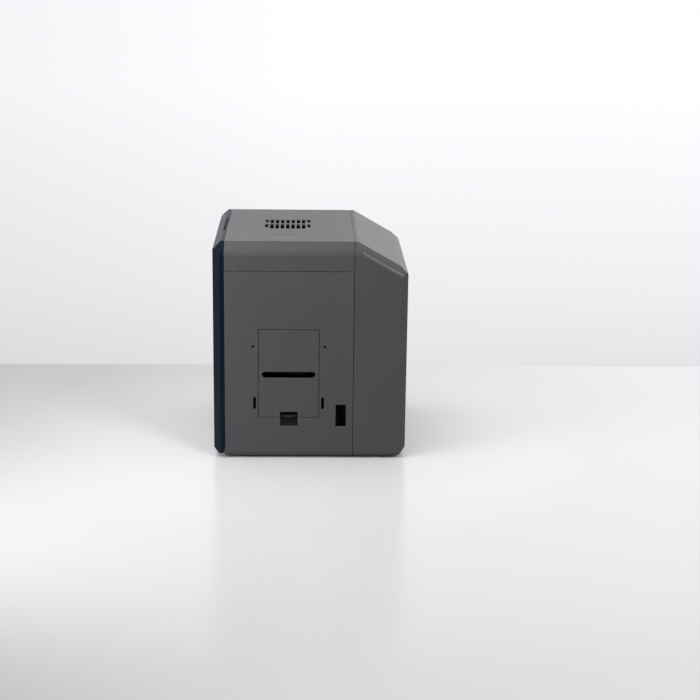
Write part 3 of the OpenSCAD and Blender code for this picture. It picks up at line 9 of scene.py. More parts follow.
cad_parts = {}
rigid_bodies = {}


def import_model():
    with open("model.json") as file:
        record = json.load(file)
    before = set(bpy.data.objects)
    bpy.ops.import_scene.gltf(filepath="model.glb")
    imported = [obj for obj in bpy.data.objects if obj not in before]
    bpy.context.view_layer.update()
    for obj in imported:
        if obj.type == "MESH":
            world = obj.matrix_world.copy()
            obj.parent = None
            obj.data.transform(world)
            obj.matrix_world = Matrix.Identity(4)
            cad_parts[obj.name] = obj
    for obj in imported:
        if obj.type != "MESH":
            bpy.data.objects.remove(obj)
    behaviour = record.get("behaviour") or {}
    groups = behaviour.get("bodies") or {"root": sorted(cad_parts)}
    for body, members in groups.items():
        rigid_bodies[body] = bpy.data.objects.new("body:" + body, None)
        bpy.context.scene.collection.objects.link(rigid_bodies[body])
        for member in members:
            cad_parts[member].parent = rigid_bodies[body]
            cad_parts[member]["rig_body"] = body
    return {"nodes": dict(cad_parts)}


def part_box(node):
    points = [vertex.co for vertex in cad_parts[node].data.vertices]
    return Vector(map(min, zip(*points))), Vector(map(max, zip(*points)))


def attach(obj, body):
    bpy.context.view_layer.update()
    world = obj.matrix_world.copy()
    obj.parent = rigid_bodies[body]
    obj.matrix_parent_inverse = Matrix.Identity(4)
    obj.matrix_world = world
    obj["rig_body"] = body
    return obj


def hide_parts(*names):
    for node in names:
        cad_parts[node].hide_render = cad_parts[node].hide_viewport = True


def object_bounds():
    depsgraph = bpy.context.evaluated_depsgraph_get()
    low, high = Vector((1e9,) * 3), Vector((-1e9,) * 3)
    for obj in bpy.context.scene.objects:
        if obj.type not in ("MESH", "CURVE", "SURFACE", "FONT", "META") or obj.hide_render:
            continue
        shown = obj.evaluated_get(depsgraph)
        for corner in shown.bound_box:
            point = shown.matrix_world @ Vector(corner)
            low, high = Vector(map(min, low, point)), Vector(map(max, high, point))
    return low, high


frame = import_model()
CAD_BOX = [[float(c) for c in corner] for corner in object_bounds()]

bl_info = {
    "name": "Id card printer",
    "version": (1, 0, 0),
    "blender": (4, 5, 0),
    "location": "3D View > Sidebar > Card printer",
    "description": "Builds the looks of a bench-top id card printer on its packed model",
    "category": "Object",
}

MM = 0.001
WELD = 0.002 * MM  # corners closer than this are joined
SLIVER_AREA = 0.0004 * MM * MM  # new faces smaller than this keep the way their neighbours look


# Settings

def colour_property(name, description, default):
    return bpy.props.FloatVectorProperty(
        name=name, description=description, subtype="COLOR", size=3, min=0, max=1, default=default)


def length_property(name, description, default, low, high):
    return bpy.props.FloatProperty(
        name=name, description=description, subtype="DISTANCE", unit="LENGTH",
        default=default, min=low, max=high, precision=5)


def factor_property(name, description, default, low=0.0, high=1.0):
    return bpy.props.FloatProperty(
        name=name, description=description, subtype="FACTOR", default=default, min=low, max=high)


class CaseSettings(bpy.types.PropertyGroup):
    """Colours and surface of the moulded case"""
    grey: colour_property(
        "Case grey", "Colour of the panels, the cover and the rear housing", (0.069, 0.070, 0.073))
    navy: colour_property("Door navy", "Colour of the front door", (0.0024, 0.0072, 0.0140))
    roughness: factor_property("Roughness", "How matt the moulded plastic is", 0.36)
    gloss: factor_property("Case gloss", "How much the case reflects head-on", 0.23)
    door_gloss: factor_property("Door gloss", "How much the door reflects head-on", 0.10)
    edge: length_property("Edge radius", "Softness of the moulded edges", 0.45 * MM, 0.1 * MM, 0.6 * MM)
    grain: length_property("Grain height", "Height of the moulded grain", 0.006 * MM, 0, 0.05 * MM)
    grain_size: length_property("Grain size", "Distance between two grains", 0.55 * MM, 0.1 * MM, 3 * MM)


class InsideSettings(bpy.types.PropertyGroup):
    """Colours of the mechanism"""
    sheet: colour_property("Sheet metal", "Zinc-plated frames and pan", (0.46, 0.47, 0.48))
    dark: colour_property("Black plastic", "Guides, hopper, tray and housings", (0.018, 0.019, 0.021))
    blue: colour_property("Cassettes", "Colour of the film and ribbon cassettes", (0.035, 0.115, 0.29))
    board: colour_property("Circuit board", "Colour of the solder mask", (0.012, 0.085, 0.035))
    rubber: colour_property("Rubber", "Colour of rollers, feet and belt", (0.018, 0.018, 0.018))
    edge: length_property("Edge radius", "Softness of small parts' edges", 0.25 * MM, 0.05 * MM, 0.5 * MM)


class StageSettings(bpy.types.PropertyGroup):
    """Camera, lights and table"""
    camera_place: bpy.props.FloatVectorProperty(
        name="Camera", description="Place of the camera", subtype="TRANSLATION", unit="LENGTH",
        size=3, default=(2.5800, -0.0102, 0.8425))
    camera_yaw: bpy.props.FloatProperty(
        name="Camera yaw", description="Turn of the view away from the side's normal", default=0.0302)
    camera_pitch: bpy.props.FloatProperty(
        name="Camera pitch", description="Downward tilt of the view", default=0.2657)
    camera_roll: bpy.props.FloatProperty(
        name="Camera roll", description="Roll of the view", default=0.0131)
    focal_px: bpy.props.FloatProperty(
        name="Focal length", description="Focal length in pixels of a 700 pixel frame", default=1586.1)
    table: colour_property("Table", "Colour of the table as the camera sees it", (0.57, 0.57, 0.575))
    wall: colour_property("Wall", "Colour of the wall as the camera sees it", (0.84, 0.84, 0.865))
    bounce: factor_property("Table bounce", "Share of the table's colour that lights the object", 0.3)
    key: bpy.props.FloatProperty(
        name="Lamps", description="Power that every lamp's own share is taken of", default=11.0, min=0)
    ambient: bpy.props.FloatProperty(
        name="Room light", description="Strength of the room's own light", default=0.27, min=0)


def case_settings():
    return bpy.context.scene.printer_case


def inside_settings():
    return bpy.context.scene.printer_inside


def stage_settings():
    return bpy.context.scene.printer_stage


# Shader groups

def new_group(name, inputs, outputs):
    """A shader node group with named sockets: inputs are (name, kind, default), outputs (name, kind)."""
    tree = bpy.data.node_groups.new(name, "ShaderNodeTree")
    for label, kind, default in inputs:
        socket = tree.interface.new_socket(name=label, in_out="INPUT", socket_type=kind)
        socket.default_value = default
    for label, kind in outputs:
        tree.interface.new_socket(name=label, in_out="OUTPUT", socket_type=kind)
    return tree, tree.nodes.new("NodeGroupInput"), tree.nodes.new("NodeGroupOutput")


def node(tree, kind, **settings):
    made = tree.nodes.new(kind)
    for key, value in settings.items():
        setattr(made, key, value)
    return made


def feed(tree, value, socket):
    """Links the socket to an output of the tree, or sets it to a number or a colour."""
    if isinstance(value, (int, float)):
        socket.default_value = value
    elif isinstance(value, (tuple, list)):
        socket.default_value = (*value[:3], 1)
    else:
        tree.links.new(value, socket)


def maths(tree, operation, *values, clamp=False):
    made = node(tree, "ShaderNodeMath", operation=operation, use_clamp=clamp)
    for value, socket in zip(values, made.inputs):
        feed(tree, value, socket)
    return made.outputs[0]


def remap(tree, value, low, high, to_low, to_high):
    made = node(tree, "ShaderNodeMapRange")
    tree.links.new(value, made.inputs["Value"])
    for label, number in (("From Min", low), ("From Max", high), ("To Min", to_low), ("To Max", to_high)):
        made.inputs[label].default_value = number
    return made.outputs["Result"]


def blend_colours(tree, kind, factor, first, second):
    made = node(tree, "ShaderNodeMix", data_type="RGBA", blend_type=kind)
    for index, value in ((0, factor), (6, first), (7, second)):
        feed(tree, value, made.inputs[index])
    return made.outputs[2]


def scaled_colour(tree, colour, level):
    """The colour with all three of its channels multiplied by the level."""
    grey = node(tree, "ShaderNodeCombineColor")
    for socket in grey.inputs:
        tree.links.new(level, socket)
    return blend_colours(tree, "MULTIPLY", 1.0, colour, grey.outputs[0])


def object_place(tree):
    return node(tree, "ShaderNodeTexCoord").outputs["Object"]


def axes(tree, vector):
    """The X, Y and Z parts of a vector."""
    parts = node(tree, "ShaderNodeSeparateXYZ")
    tree.links.new(vector, parts.inputs[0])
    return tuple(parts.outputs)


def product(tree, first, *others):
    for other in others:
        first = maths(tree, "MULTIPLY", first, other)
    return first


def distance(tree, first, second):
    """The length of the diagonal over two lengths."""
    squares = [product(tree, length, length) for length in (first, second)]
    return maths(tree, "SQRT", maths(tree, "ADD", *squares))


def noise(tree, place, scale, detail, roughness):
    made = node(tree, "ShaderNodeTexNoise")
    for label, value in (("Vector", place), ("Scale", scale), ("Detail", detail), ("Roughness", roughness)):
        feed(tree, value, made.inputs[label])
    return made.outputs["Fac"]


def moulded_grain_group():
    """Fine spark-eroded grain of moulded plastic: a tinted colour, a roughness and a height."""
    tree, source, sink = new_group(
        "Moulded grain",
        [("Colour", "NodeSocketColor", (0.1, 0.1, 0.1, 1)), ("Roughness", "NodeSocketFloat", 0.4),
         ("Grain size", "NodeSocketFloat", 0.0005), ("Mottle", "NodeSocketFloat", 0.04)],
        [("Colour", "NodeSocketColor"), ("Roughness", "NodeSocketFloat"), ("Height", "NodeSocketFloat")])
    place = object_place(tree)
    scale = maths(tree, "DIVIDE", 1.0, source.outputs["Grain size"])
    fine = noise(tree, place, scale, 2.0, 0.6)
    cells = node(tree, "ShaderNodeTexVoronoi")
    tree.links.new(place, cells.inputs["Vector"])
    tree.links.new(scale, cells.inputs["Scale"])
    height = maths(tree, "ADD", product(tree, fine, 0.6), product(tree, cells.outputs["Distance"], 0.4))
    broad = noise(tree, place, 9.0, 3.0, 0.55)
    handled = noise(tree, place, 42.0, 4.0, 0.6)
    mottle = source.outputs["Mottle"]
    swing = product(tree, maths(tree, "SUBTRACT", broad, 0.5), mottle)
    speck = product(tree, maths(tree, "SUBTRACT", fine, 0.5), mottle, 1.4)
    shade = maths(tree, "ADD", 1.0, maths(tree, "ADD", swing, speck))
    tree.links.new(scaled_colour(tree, source.outputs["Colour"], shade), sink.inputs["Colour"])
    worn = product(tree, maths(tree, "SUBTRACT", handled, 0.5), 0.10)
    tree.links.new(maths(tree, "ADD", source.outputs["Roughness"], worn), sink.inputs["Roughness"])
    tree.links.new(height, sink.inputs["Height"])
    return tree


def worn_edge_and_corner_shade_group():
    """Two masks: outer edges that are paler where worn, broken up by noise, and painted shade that darkens
    corners.
    """
    tree, source, sink = new_group(
        "Worn edge and corner shade",
        [("Reach", "NodeSocketFloat", 0.6), ("Amount", "NodeSocketFloat", 0.5)],
        [("Edge", "NodeSocketFloat"), ("Corner shade", "NodeSocketFloat")])
    pointed = node(tree, "ShaderNodeNewGeometry").outputs["Pointiness"]
    broken = noise(tree, object_place(tree), 160.0, 3.0, 0.65)
    outer = remap(tree, pointed, 0.52, 0.62, 0.0, 1.0)
    edge = product(tree, outer, remap(tree, broken, 0.35, 0.65, 0.2, 1.0))
    edge = maths(tree, "MULTIPLY", edge, source.outputs["Amount"], clamp=True)
    # painted shade: concave corners, found by pointiness, are darkened
    corner = remap(tree, pointed, 0.48, 0.38, 0.0, 1.0)
    corner = maths(tree, "MULTIPLY", corner, source.outputs["Reach"], clamp=True)
    tree.links.new(edge, sink.inputs["Edge"])
    tree.links.new(corner, sink.inputs["Corner shade"])
    return tree


def seam_shade_group():
    """A mask that falls to zero inside seams, slots and narrow corners, where no light gets in."""
    tree, source, sink = new_group(
        "Seam shade", [("Reach", "NodeSocketFloat", 0.003)], [("Open", "NodeSocketFloat")])
    closed = node(tree, "ShaderNodeAmbientOcclusion", samples=6)
    tree.links.new(source.outputs["Reach"], closed.inputs["Distance"])
    tree.links.new(remap(tree, closed.outputs["AO"], 0.25, 0.8, 0.06, 1.0), sink.inputs["Open"])
    return tree


def drawn_lines_group():
    """Fine lines along one axis, as on rolled sheet, turned shafts and wound rolls."""
    tree, source, sink = new_group(
        "Drawn lines",
        [("Along", "NodeSocketVector", (1, 1, 0.04)), ("Fineness", "NodeSocketFloat", 900.0),
         ("Contrast", "NodeSocketFloat", 0.3)],
        [("Lines", "NodeSocketFloat"), ("Height", "NodeSocketFloat")])
    stretched = node(tree, "ShaderNodeVectorMath", operation="MULTIPLY")
    tree.links.new(object_place(tree), stretched.inputs[0])
    tree.links.new(source.outputs["Along"], stretched.inputs[1])
    lines = noise(tree, stretched.outputs[0], source.outputs["Fineness"], 3.0, 0.7)
    centred = product(tree, maths(tree, "SUBTRACT", lines, 0.5), source.outputs["Contrast"])
    tree.links.new(centred, sink.inputs["Lines"])
    tree.links.new(lines, sink.inputs["Height"])
    return tree


def place_group(tree, name, maker, **values):
    """Places the shared group in a tree, made at its first use, with the values on its sockets."""
    placed = node(tree, "ShaderNodeGroup")
    placed.node_tree = bpy.data.node_groups.get(name) or maker()
    for key, value in values.items():
        placed.inputs[key.replace("_", " ")].default_value = (*value[:3], 1) if key == "Colour" else value
    return placed


def start_material(name, roughness=0.5, **constants):
    """A material with its shader, whose constants are set on the shader's own sockets."""
    material = bpy.data.materials.new(name)
    material.use_nodes = True
    tree = material.node_tree
    shader = tree.nodes["Principled BSDF"]
    shader.inputs["Roughness"].default_value = roughness
    for label, value in constants.items():
        shader.inputs[label.replace("_", " ")].default_value = value
    return material, tree, shader


def bump(tree, shader, height, distance, strength=1.0):
    made = node(tree, "ShaderNodeBump")
    made.inputs["Strength"].default_value = strength
    made.inputs["Distance"].default_value = distance
    tree.links.new(height, made.inputs["Height"])
    tree.links.new(made.outputs["Normal"], shader.inputs["Normal"])


# Finishes

def moulded_plastic(name, colour, roughness, mottle=0.05, wear=0.25, relief=1.0, coat=0.0, gloss=0.5):
    """Moulded plastic with a fine grain, slightly paler where edges are handled, with painted shade in
    corners and black painted shade in seams.
    """
    case = case_settings()
    material, tree, shader = start_material(
        name, roughness, Coat_Weight=coat, Coat_Roughness=0.2, Specular_IOR_Level=gloss)
    grain = place_group(tree, "Moulded grain", moulded_grain_group, Colour=colour, Roughness=roughness,
                        Grain_size=case.grain_size, Mottle=mottle)
    worn = place_group(tree, "Worn edge and corner shade", worn_edge_and_corner_shade_group, Reach=0.35, Amount=wear)
    pale = tuple(min(1.0, c * 1.5 + 0.012) for c in colour)
    dark = tuple(c * 0.55 for c in colour)
    mixed = blend_colours(tree, "MIX", worn.outputs["Edge"], grain.outputs["Colour"], pale)
    # painted shade: corners are mixed towards dark
    mixed = blend_colours(tree, "MIX", worn.outputs["Corner shade"], mixed, dark)
    # painted shade: seams, slots and narrow corners are mixed to near black
    shade = place_group(tree, "Seam shade", seam_shade_group, Reach=2.5 * MM)
    mixed = blend_colours(tree, "MIX", shade.outputs["Open"], (0.0005, 0.0005, 0.0006), mixed)
    tree.links.new(mixed, shader.inputs["Base Color"])
    tree.links.new(grain.outputs["Roughness"], shader.inputs["Roughness"])
    bump(tree, shader, grain.outputs["Height"], case.grain * relief)
    return material


def drawn_metal(name, colour, roughness, along, fineness=900.0, contrast=0.5, metallic=1.0):
    """Rolled, turned or plated metal with fine lines along its working direction."""
    material, tree, shader = start_material(name, roughness, Metallic=metallic)
    lines = place_group(tree, "Drawn lines", drawn_lines_group,
                        Along=along, Fineness=fineness, Contrast=contrast)
    worn = place_group(tree, "Worn edge and corner shade", worn_edge_and_corner_shade_group, Reach=0.5, Amount=0.5)
    pale = tuple(min(1, c * 1.4) for c in colour)
    dark = tuple(c * 0.5 for c in colour)
    mixed = scaled_colour(tree, colour, maths(tree, "ADD", 1.0, lines.outputs["Lines"]))
    mixed = blend_colours(tree, "MIX", worn.outputs["Edge"], mixed, pale)
    # painted shade: corners are mixed towards dark
    mixed = blend_colours(tree, "MIX", worn.outputs["Corner shade"], mixed, dark)
    tree.links.new(mixed, shader.inputs["Base Color"])
    rough = maths(tree, "ADD", roughness, product(tree, lines.outputs["Lines"], 0.35), clamp=True)
    tree.links.new(rough, shader.inputs["Roughness"])
    bump(tree, shader, lines.outputs["Height"], 0.004 * MM)
    return material


def wound_roll(name, colour, second, axis, roughness=0.35):
    """The side of a wound roll, with the rings of its turns, and its smooth outer turn."""
    material, tree, shader = start_material(name, roughness, Coat_Weight=0.3, Coat_Roughness=0.15)
    x, _, z = axes(tree, object_place(tree))
    radius = distance(tree, maths(tree, "SUBTRACT", x, axis[0]), maths(tree, "SUBTRACT", z, axis[1]))
    turns = node(tree, "ShaderNodeTexNoise", noise_dimensions="1D")
    turns.inputs["Scale"].default_value = 2600.0
    turns.inputs["Detail"].default_value = 3.0
    tree.links.new(radius, turns.inputs["W"])
    rings = remap(tree, turns.outputs["Fac"], 0.3, 0.7, 0.0, 1.0)
    tree.links.new(blend_colours(tree, "MIX", rings, colour, second), shader.inputs["Base Color"])
    rough = remap(tree, rings, 0.0, 1.0, roughness - 0.08, roughness + 0.12)
    tree.links.new(rough, shader.inputs["Roughness"])
    bump(tree, shader, rings, 0.02 * MM)
    return material


def ribbon_panels(name):
    """Dye panels that follow each other along the ribbon, with a clear gap between two of them."""
    material, tree, shader = start_material(name, 0.22, Coat_Weight=0.5, Coat_Roughness=0.1)
    _, _, height = axes(tree, object_place(tree))
    along = remap(tree, height, 0.194, 0.314, 0.0, 1.0)
    ramp = node(tree, "ShaderNodeValToRGB")
    ramp.color_ramp.interpolation = "CONSTANT"
    stops = ((0.0, (0.02, 0.25, 0.42)), (0.38, (0.5, 0.5, 0.46)), (0.40, (0.45, 0.03, 0.16)),
             (0.80, (0.5, 0.5, 0.46)), (0.82, (0.7, 0.45, 0.03)))
    for index, (at, colour) in enumerate(stops):
        stop = ramp.color_ramp.elements[index] if index < 2 else ramp.color_ramp.elements.new(at)
        stop.position = at
        stop.color = (*colour, 1)
    tree.links.new(along, ramp.inputs["Fac"])
    streaks = place_group(tree, "Drawn lines", drawn_lines_group,
                          Along=(0.2, 1.0, 0.02), Fineness=500.0, Contrast=0.25)
    shade = maths(tree, "ADD", 1.0, streaks.outputs["Lines"])
    tree.links.new(scaled_colour(tree, ramp.outputs[0], shade), shader.inputs["Base Color"])
    bump(tree, shader, streaks.outputs["Height"], 0.01 * MM)
    return material


def circuit_board(name, flat_axis):
    """Solder mask with faint traces under it. flat_axis is the axis across the board."""
    material, tree, shader = start_material(name, 0.3, Coat_Weight=0.4, Coat_Roughness=0.15)
    place = object_place(tree)
    turned = node(tree, "ShaderNodeMapping")
    turned.inputs["Rotation"].default_value = (0, math.pi / 2, 0) if flat_axis == "X" else (math.pi / 2, 0, 0)
    tree.links.new(place, turned.inputs["Vector"])
    bricks = node(tree, "ShaderNodeTexBrick", offset=0.37, squash=1.6, squash_frequency=3)
    for label, value in (("Scale", 130.0), ("Mortar Size", 0.05), ("Brick Width", 0.9), ("Row Height", 0.28)):
        bricks.inputs[label].default_value = value
    tree.links.new(turned.outputs[0], bricks.inputs["Vector"])
    cells = node(tree, "ShaderNodeTexVoronoi", distance="MANHATTAN")
    cells.inputs["Scale"].default_value = 150.0
    tree.links.new(place, cells.inputs["Vector"])
    pads = remap(tree, cells.outputs["Distance"], 0.20, 0.17, 0.0, 1.0)
    mask = inside_settings().board
    colour = blend_colours(tree, "MIX", bricks.outputs["Fac"], tuple(mask), tuple(c * 1.8 for c in mask))
    colour = blend_colours(tree, "MIX", pads, colour, (0.45, 0.42, 0.32))
    tree.links.new(colour, shader.inputs["Base Color"])
    bump(tree, shader, bricks.outputs["Fac"], 0.03 * MM)
    return material


def rubber_skin(name, colour, roughness=0.75, relief=0.02):
    """Ground rubber with a dusty bloom."""
    material, tree, shader = start_material(name, roughness)
    grain = place_group(tree, "Moulded grain", moulded_grain_group, Colour=colour, Roughness=roughness,
                        Grain_size=0.0004, Mottle=0.25)
    worn = place_group(tree, "Worn edge and corner shade", worn_edge_and_corner_shade_group, Reach=0.3, Amount=0.5)
    bloom = tuple(c * 1.8 + 0.02 for c in colour)
    mixed = blend_colours(tree, "MIX", worn.outputs["Edge"], grain.outputs["Colour"], bloom)
    tree.links.new(mixed, shader.inputs["Base Color"])
    tree.links.new(grain.outputs["Roughness"], shader.inputs["Roughness"])
    bump(tree, shader, grain.outputs["Height"], relief * MM)
    return material


def smoked_window(name):
    """Glossy smoked window over a dark display, with faint wipe marks."""
    material, tree, shader = start_material(name, 0.08, Coat_Weight=1.0, Coat_Roughness=0.03)
    wipes = noise(tree, object_place(tree), 55.0, 4.0, 0.6)
    smoke = blend_colours(tree, "MIX", wipes, (0.004, 0.005, 0.007), (0.009, 0.011, 0.014))
    tree.links.new(smoke, shader.inputs["Base Color"])
    tree.links.new(remap(tree, wipes, 0.3, 0.8, 0.05, 0.16), shader.inputs["Roughness"])
    return material


def finish(name):
    """The named finish, made at its first use."""
    found = bpy.data.materials.get(name)
    if found:
        return found
    case, inside = case_settings(), inside_settings()
    makers = {
        "case grey": (moulded_plastic, dict(
            colour=tuple(case.grey), roughness=case.roughness, gloss=case.gloss)),
        "door navy": (moulded_plastic, dict(
            colour=tuple(case.navy), roughness=case.roughness, mottle=0.08, gloss=case.door_gloss)),
        "black plastic": (moulded_plastic, dict(
            colour=tuple(inside.dark), roughness=0.5, mottle=0.12, wear=0.4)),
        # painted shade: these fittings are made far blacker than black plastic so that deep openings show
        # black
        "black fittings and painted shade": (moulded_plastic, dict(
            colour=(0.002, 0.002, 0.0022), roughness=0.5, mottle=0.2, wear=0.1, gloss=0.05)),
        # dark latch plastic made near black, partly as painted shade for the shade in its recess
        "latch plastic and painted shade": (moulded_plastic, dict(
            colour=(0.004, 0.004, 0.0045), roughness=0.26, mottle=0.1, gloss=0.27)),
        "button plastic": (moulded_plastic, dict(
            colour=(0.42, 0.43, 0.44), roughness=0.38, mottle=0.04, wear=0.3)),
        "cassette plastic": (moulded_plastic, dict(
            colour=tuple(inside.blue), roughness=0.34, mottle=0.07, wear=0.35)),
        "white plastic": (moulded_plastic, dict(
            colour=(0.62, 0.61, 0.57), roughness=0.4, mottle=0.05, wear=0.2)),
        "ceramic": (moulded_plastic, dict(
            colour=(0.66, 0.65, 0.61), roughness=0.25, mottle=0.03, wear=0.2)),
        "clear film": (moulded_plastic, dict(
            colour=(0.5, 0.48, 0.42), roughness=0.16, mottle=0.05, wear=0.0, relief=0.4, coat=0.5)),
        "sheet metal": (drawn_metal, dict(
            colour=tuple(inside.sheet), roughness=0.38, along=(0.03, 1.0, 1.0))),
        "turned steel": (drawn_metal, dict(
            colour=(0.55, 0.55, 0.56), roughness=0.28, along=(0.3, 1.0, 0.3), fineness=1400.0,
            contrast=0.35)),
        "screw steel": (drawn_metal, dict(
            colour=(0.32, 0.32, 0.33), roughness=0.35, along=(1.0, 0.2, 1.0), fineness=1800.0, contrast=0.4)),
        "heat sink": (drawn_metal, dict(
            colour=(0.62, 0.63, 0.64), roughness=0.33, along=(1.0, 0.05, 1.0), fineness=700.0, contrast=0.3)),
        "brass": (drawn_metal, dict(
            colour=(0.62, 0.43, 0.16), roughness=0.3, along=(1.0, 0.2, 1.0), fineness=1500.0, contrast=0.3)),
        "motor laminations": (drawn_metal, dict(
            colour=(0.05, 0.05, 0.052), roughness=0.45, along=(0.02, 1.0, 0.02), fineness=1700.0,
            contrast=1.1, metallic=0.7)),
        "rubber": (rubber_skin, dict(colour=tuple(inside.rubber), roughness=0.75, relief=0.02)),
        "silicone": (rubber_skin, dict(colour=(0.46, 0.38, 0.28), roughness=0.5, relief=0.008)),
        "tacky polymer": (rubber_skin, dict(colour=(0.16, 0.38, 0.5), roughness=0.18, relief=0.004)),
        "smoked window": (smoked_window, {}),
        "main board mask": (circuit_board, dict(flat_axis="X")),
        "display board mask": (circuit_board, dict(flat_axis="Y")),
        "ribbon panels": (ribbon_panels, {}),
    }
    maker, values = makers[name]
    return maker(name, **values)


# Pieces

def clean_mesh(cad_node):
    """The node's mesh with its seams joined and its collapsed edges and faces dissolved."""
    work = bmesh.new()
    work.from_mesh(frame["nodes"][cad_node].data)
    bmesh.ops.remove_doubles(work, verts=work.verts, dist=WELD)
    bmesh.ops.dissolve_degenerate(work, dist=WELD, edges=work.edges)
    work.normal_update()
    return work


def round_edges(work, radius, steps, sharpest=26.0):
    """Rounds every edge that turns by more than the given angle. Each face remembers the way it
    looked before, so a sliver that the rounding turns over is turned back."""
    facing = work.faces.layers.float_vector.new("facing")
    for face in work.faces:
        face[facing] = face.normal
    chosen = [e for e in work.edges
              if len(e.link_faces) == 2 and e.calc_face_angle(0.0) > math.radians(sharpest)]
    added = set()
    if chosen and radius > 0:
        made = bmesh.ops.bevel(work, geom=chosen, offset=radius, offset_type="OFFSET", segments=steps,
                               profile=0.6, affect="EDGES", clamp_overlap=False, loop_slide=False)
        added = set(made["faces"])
    work.normal_update()
    turned = []
    for face in work.faces:
        if face not in added:
            if face.normal.dot(face[facing]) < 0:
                turned.append(face)
            continue
        around = sum((other[facing] for edge in face.edges for other in edge.link_faces
                      if other is not face), Vector())
        if face.normal.dot(around) < 0 and face.normal.dot(face[facing]) < 0:
            turned.append(face)
        elif face.calc_area() > SLIVER_AREA:
            face[facing] = face.normal
    for face in turned:
        face.normal_flip()
    return facing


def corner_normals(work, facing, sharpest=38.0):
    """One normal for each corner: the mean of the faces round it that turn by less than the given
    angle, where the large faces count most, so flats stay flat and round forms are smooth."""
    limit = math.cos(math.radians(sharpest))
    looks = {face: (face[facing].copy(), face.calc_area()) for face in work.faces}
    normals = []
    for face in work.faces:
        look = looks[face][0]
        for corner in face.loops:
            mean = Vector()
            for other in corner.vert.link_faces:
                direction, area = looks[other]
                if direction.dot(look) > limit:
                    mean += direction * area
            normals.append(mean.normalized() if mean.length > 0 else look)
    return normals


def dress(cad_node, finishes, radius, steps=2):
    """Makes the visible piece of a CAD node: its own form with soft edges. finishes is a list of
    (finish name, test), where test takes a face's centre in mm and its normal, and the first
    finish whose test holds is used."""
    work = clean_mesh(cad_node)
    facing = round_edges(work, radius, steps)
    for face in work.faces:
        face.smooth = True
        centre = face.calc_center_median() / MM
        for index, (_, test) in enumerate(finishes):
            if test is None or test(centre, face.normal):
                face.material_index = index
                break
    normals = corner_normals(work, facing)
    mesh = bpy.data.meshes.new(cad_node + "_form")
    work.to_mesh(mesh)
    work.free()
    mesh.normals_split_custom_set(normals)
    for finish_name, _ in finishes:
        mesh.materials.append(finish(finish_name))
    piece = bpy.data.objects.new(cad_node + "_piece", mesh)
    bpy.context.scene.collection.objects.link(piece)
    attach(piece, frame["nodes"][cad_node]["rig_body"])
    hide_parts(cad_node)


# Operators

class PRINTER_OT_case(bpy.types.Operator):
    """Side panels, top cover, side hatch and rear housing with soft edges and fine grain"""
    bl_idname = "printer.case"
    bl_label = "Case panels"

    def execute(self, context):
        edge = case_settings().edge
        for name in ("right_panel", "left_panel", "rear_housing", "top_cover", "side_hatch"):
            dress(name, [("case grey", None)], edge, steps=3)
        return {"FINISHED"}


class PRINTER_OT_front_door(bpy.types.Operator):
    """Navy front door with its liner, display, board and buttons"""
    bl_idname = "printer.front_door"
    bl_label = "Front door"

    def execute(self, context):
        edge = case_settings().edge
        small = inside_settings().edge
        dress("front_door", [("door navy", None)], edge, steps=3)
        dress("door_liner", [("black plastic", None)], small)
        dress("display_window", [("smoked window", None)], small)
        display_depth = 4.8
        board_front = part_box("display_board")[0].y / MM + display_depth
        dress("display_board",
              [("black fittings and painted shade", lambda c, n: c.y < board_front), ("display board mask", None)], 0.15 * MM)
        for name in ("button_ok", "button_menu", "power_button"):
            dress(name, [("button plastic", None)], 0.5 * MM, steps=3)
        return {"FINISHED"}


class PRINTER_OT_hatch_fittings(bpy.types.Operator):
    """Spring latch of the side hatch and the connector for a docked unit"""
    bl_idname = "printer.hatch_fittings"
    bl_label = "Latch and connector"

    def execute(self, context):
        dress("hatch_latch", [("latch plastic and painted shade", None)], inside_settings().edge, steps=3)
        dress("dock_connector", [("black fittings and painted shade", None)], 0.15 * MM)
        return {"FINISHED"}


class PRINTER_OT_base(bpy.types.Operator):
    """Base pan, feet and the screws of the rear housing"""
    bl_idname = "printer.base"
    bl_label = "Base, feet and screws"

    def execute(self, context):
        dress("base_pan", [("sheet metal", None)], inside_settings().edge)
        dress("feet", [("rubber", None)], 0.6 * MM, steps=3)
        dress("rear_screws", [("screw steel", None)], 0.12 * MM)
        return {"FINISHED"}


class PRINTER_OT_frames(bpy.types.Operator):
    """Sheet frames, card guides, hopper with its plate, and output tray"""
    bl_idname = "printer.frames"
    bl_label = "Frames, hopper and tray"

    def execute(self, context):
        small = inside_settings().edge
        for name in ("front_frame", "rear_frame"):
            dress(name, [("sheet metal", None)], small)
        dress("card_guides", [("black plastic", None)], small)
        dress("card_hopper", [("black plastic", None)], 0.4 * MM, steps=3)
        dress("hopper_plate", [("sheet metal", None)], small)
        dress("output_tray", [("black plastic", None)], 0.4 * MM, steps=3)
        return {"FINISHED"}


def off_axis(cad_node, reach):
    """A test for faces further than reach, in mm, from the middle line of a node along Y."""
    low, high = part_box(cad_node)
    x, z = (low.x + high.x) / 2 / MM, (low.z + high.z) / 2 / MM
    return lambda centre, normal: math.hypot(centre.x - x, centre.z - z) > reach


def rubber_part(cad_node, shaft_radius=3.3, half_length=28.7):
    """A test for the rubber of a roller, which lies between its shaft ends and its pulley."""
    low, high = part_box("side_hatch")
    card_middle = (low.y + high.y) / 2 / MM
    outside = off_axis(cad_node, shaft_radius)
    return lambda centre, normal: outside(centre, normal) and abs(centre.y - card_middle) < half_length


class PRINTER_OT_rollers(bpy.types.Operator):
    """Transport, cleaning, heat and print rollers on turned shafts"""
    bl_idname = "printer.rollers"
    bl_label = "Rollers"

    def execute(self, context):
        small = inside_settings().edge
        rubber = ("feed_roller", "drive_roller_1", "drive_roller_2", "pinch_roller",
                  "transfer_platen", "print_platen")
        skins = [(name, "rubber", "rubber") for name in rubber]
        skins += [("cleaning_roller", "tacky polymer", "tacky_roller"),
                  ("heat_roller", "silicone", "silicone")]
        for name, skin, slot in skins:
            dress(name, [(skin, rubber_part(name)), ("turned steel", None)], small)
        return {"FINISHED"}


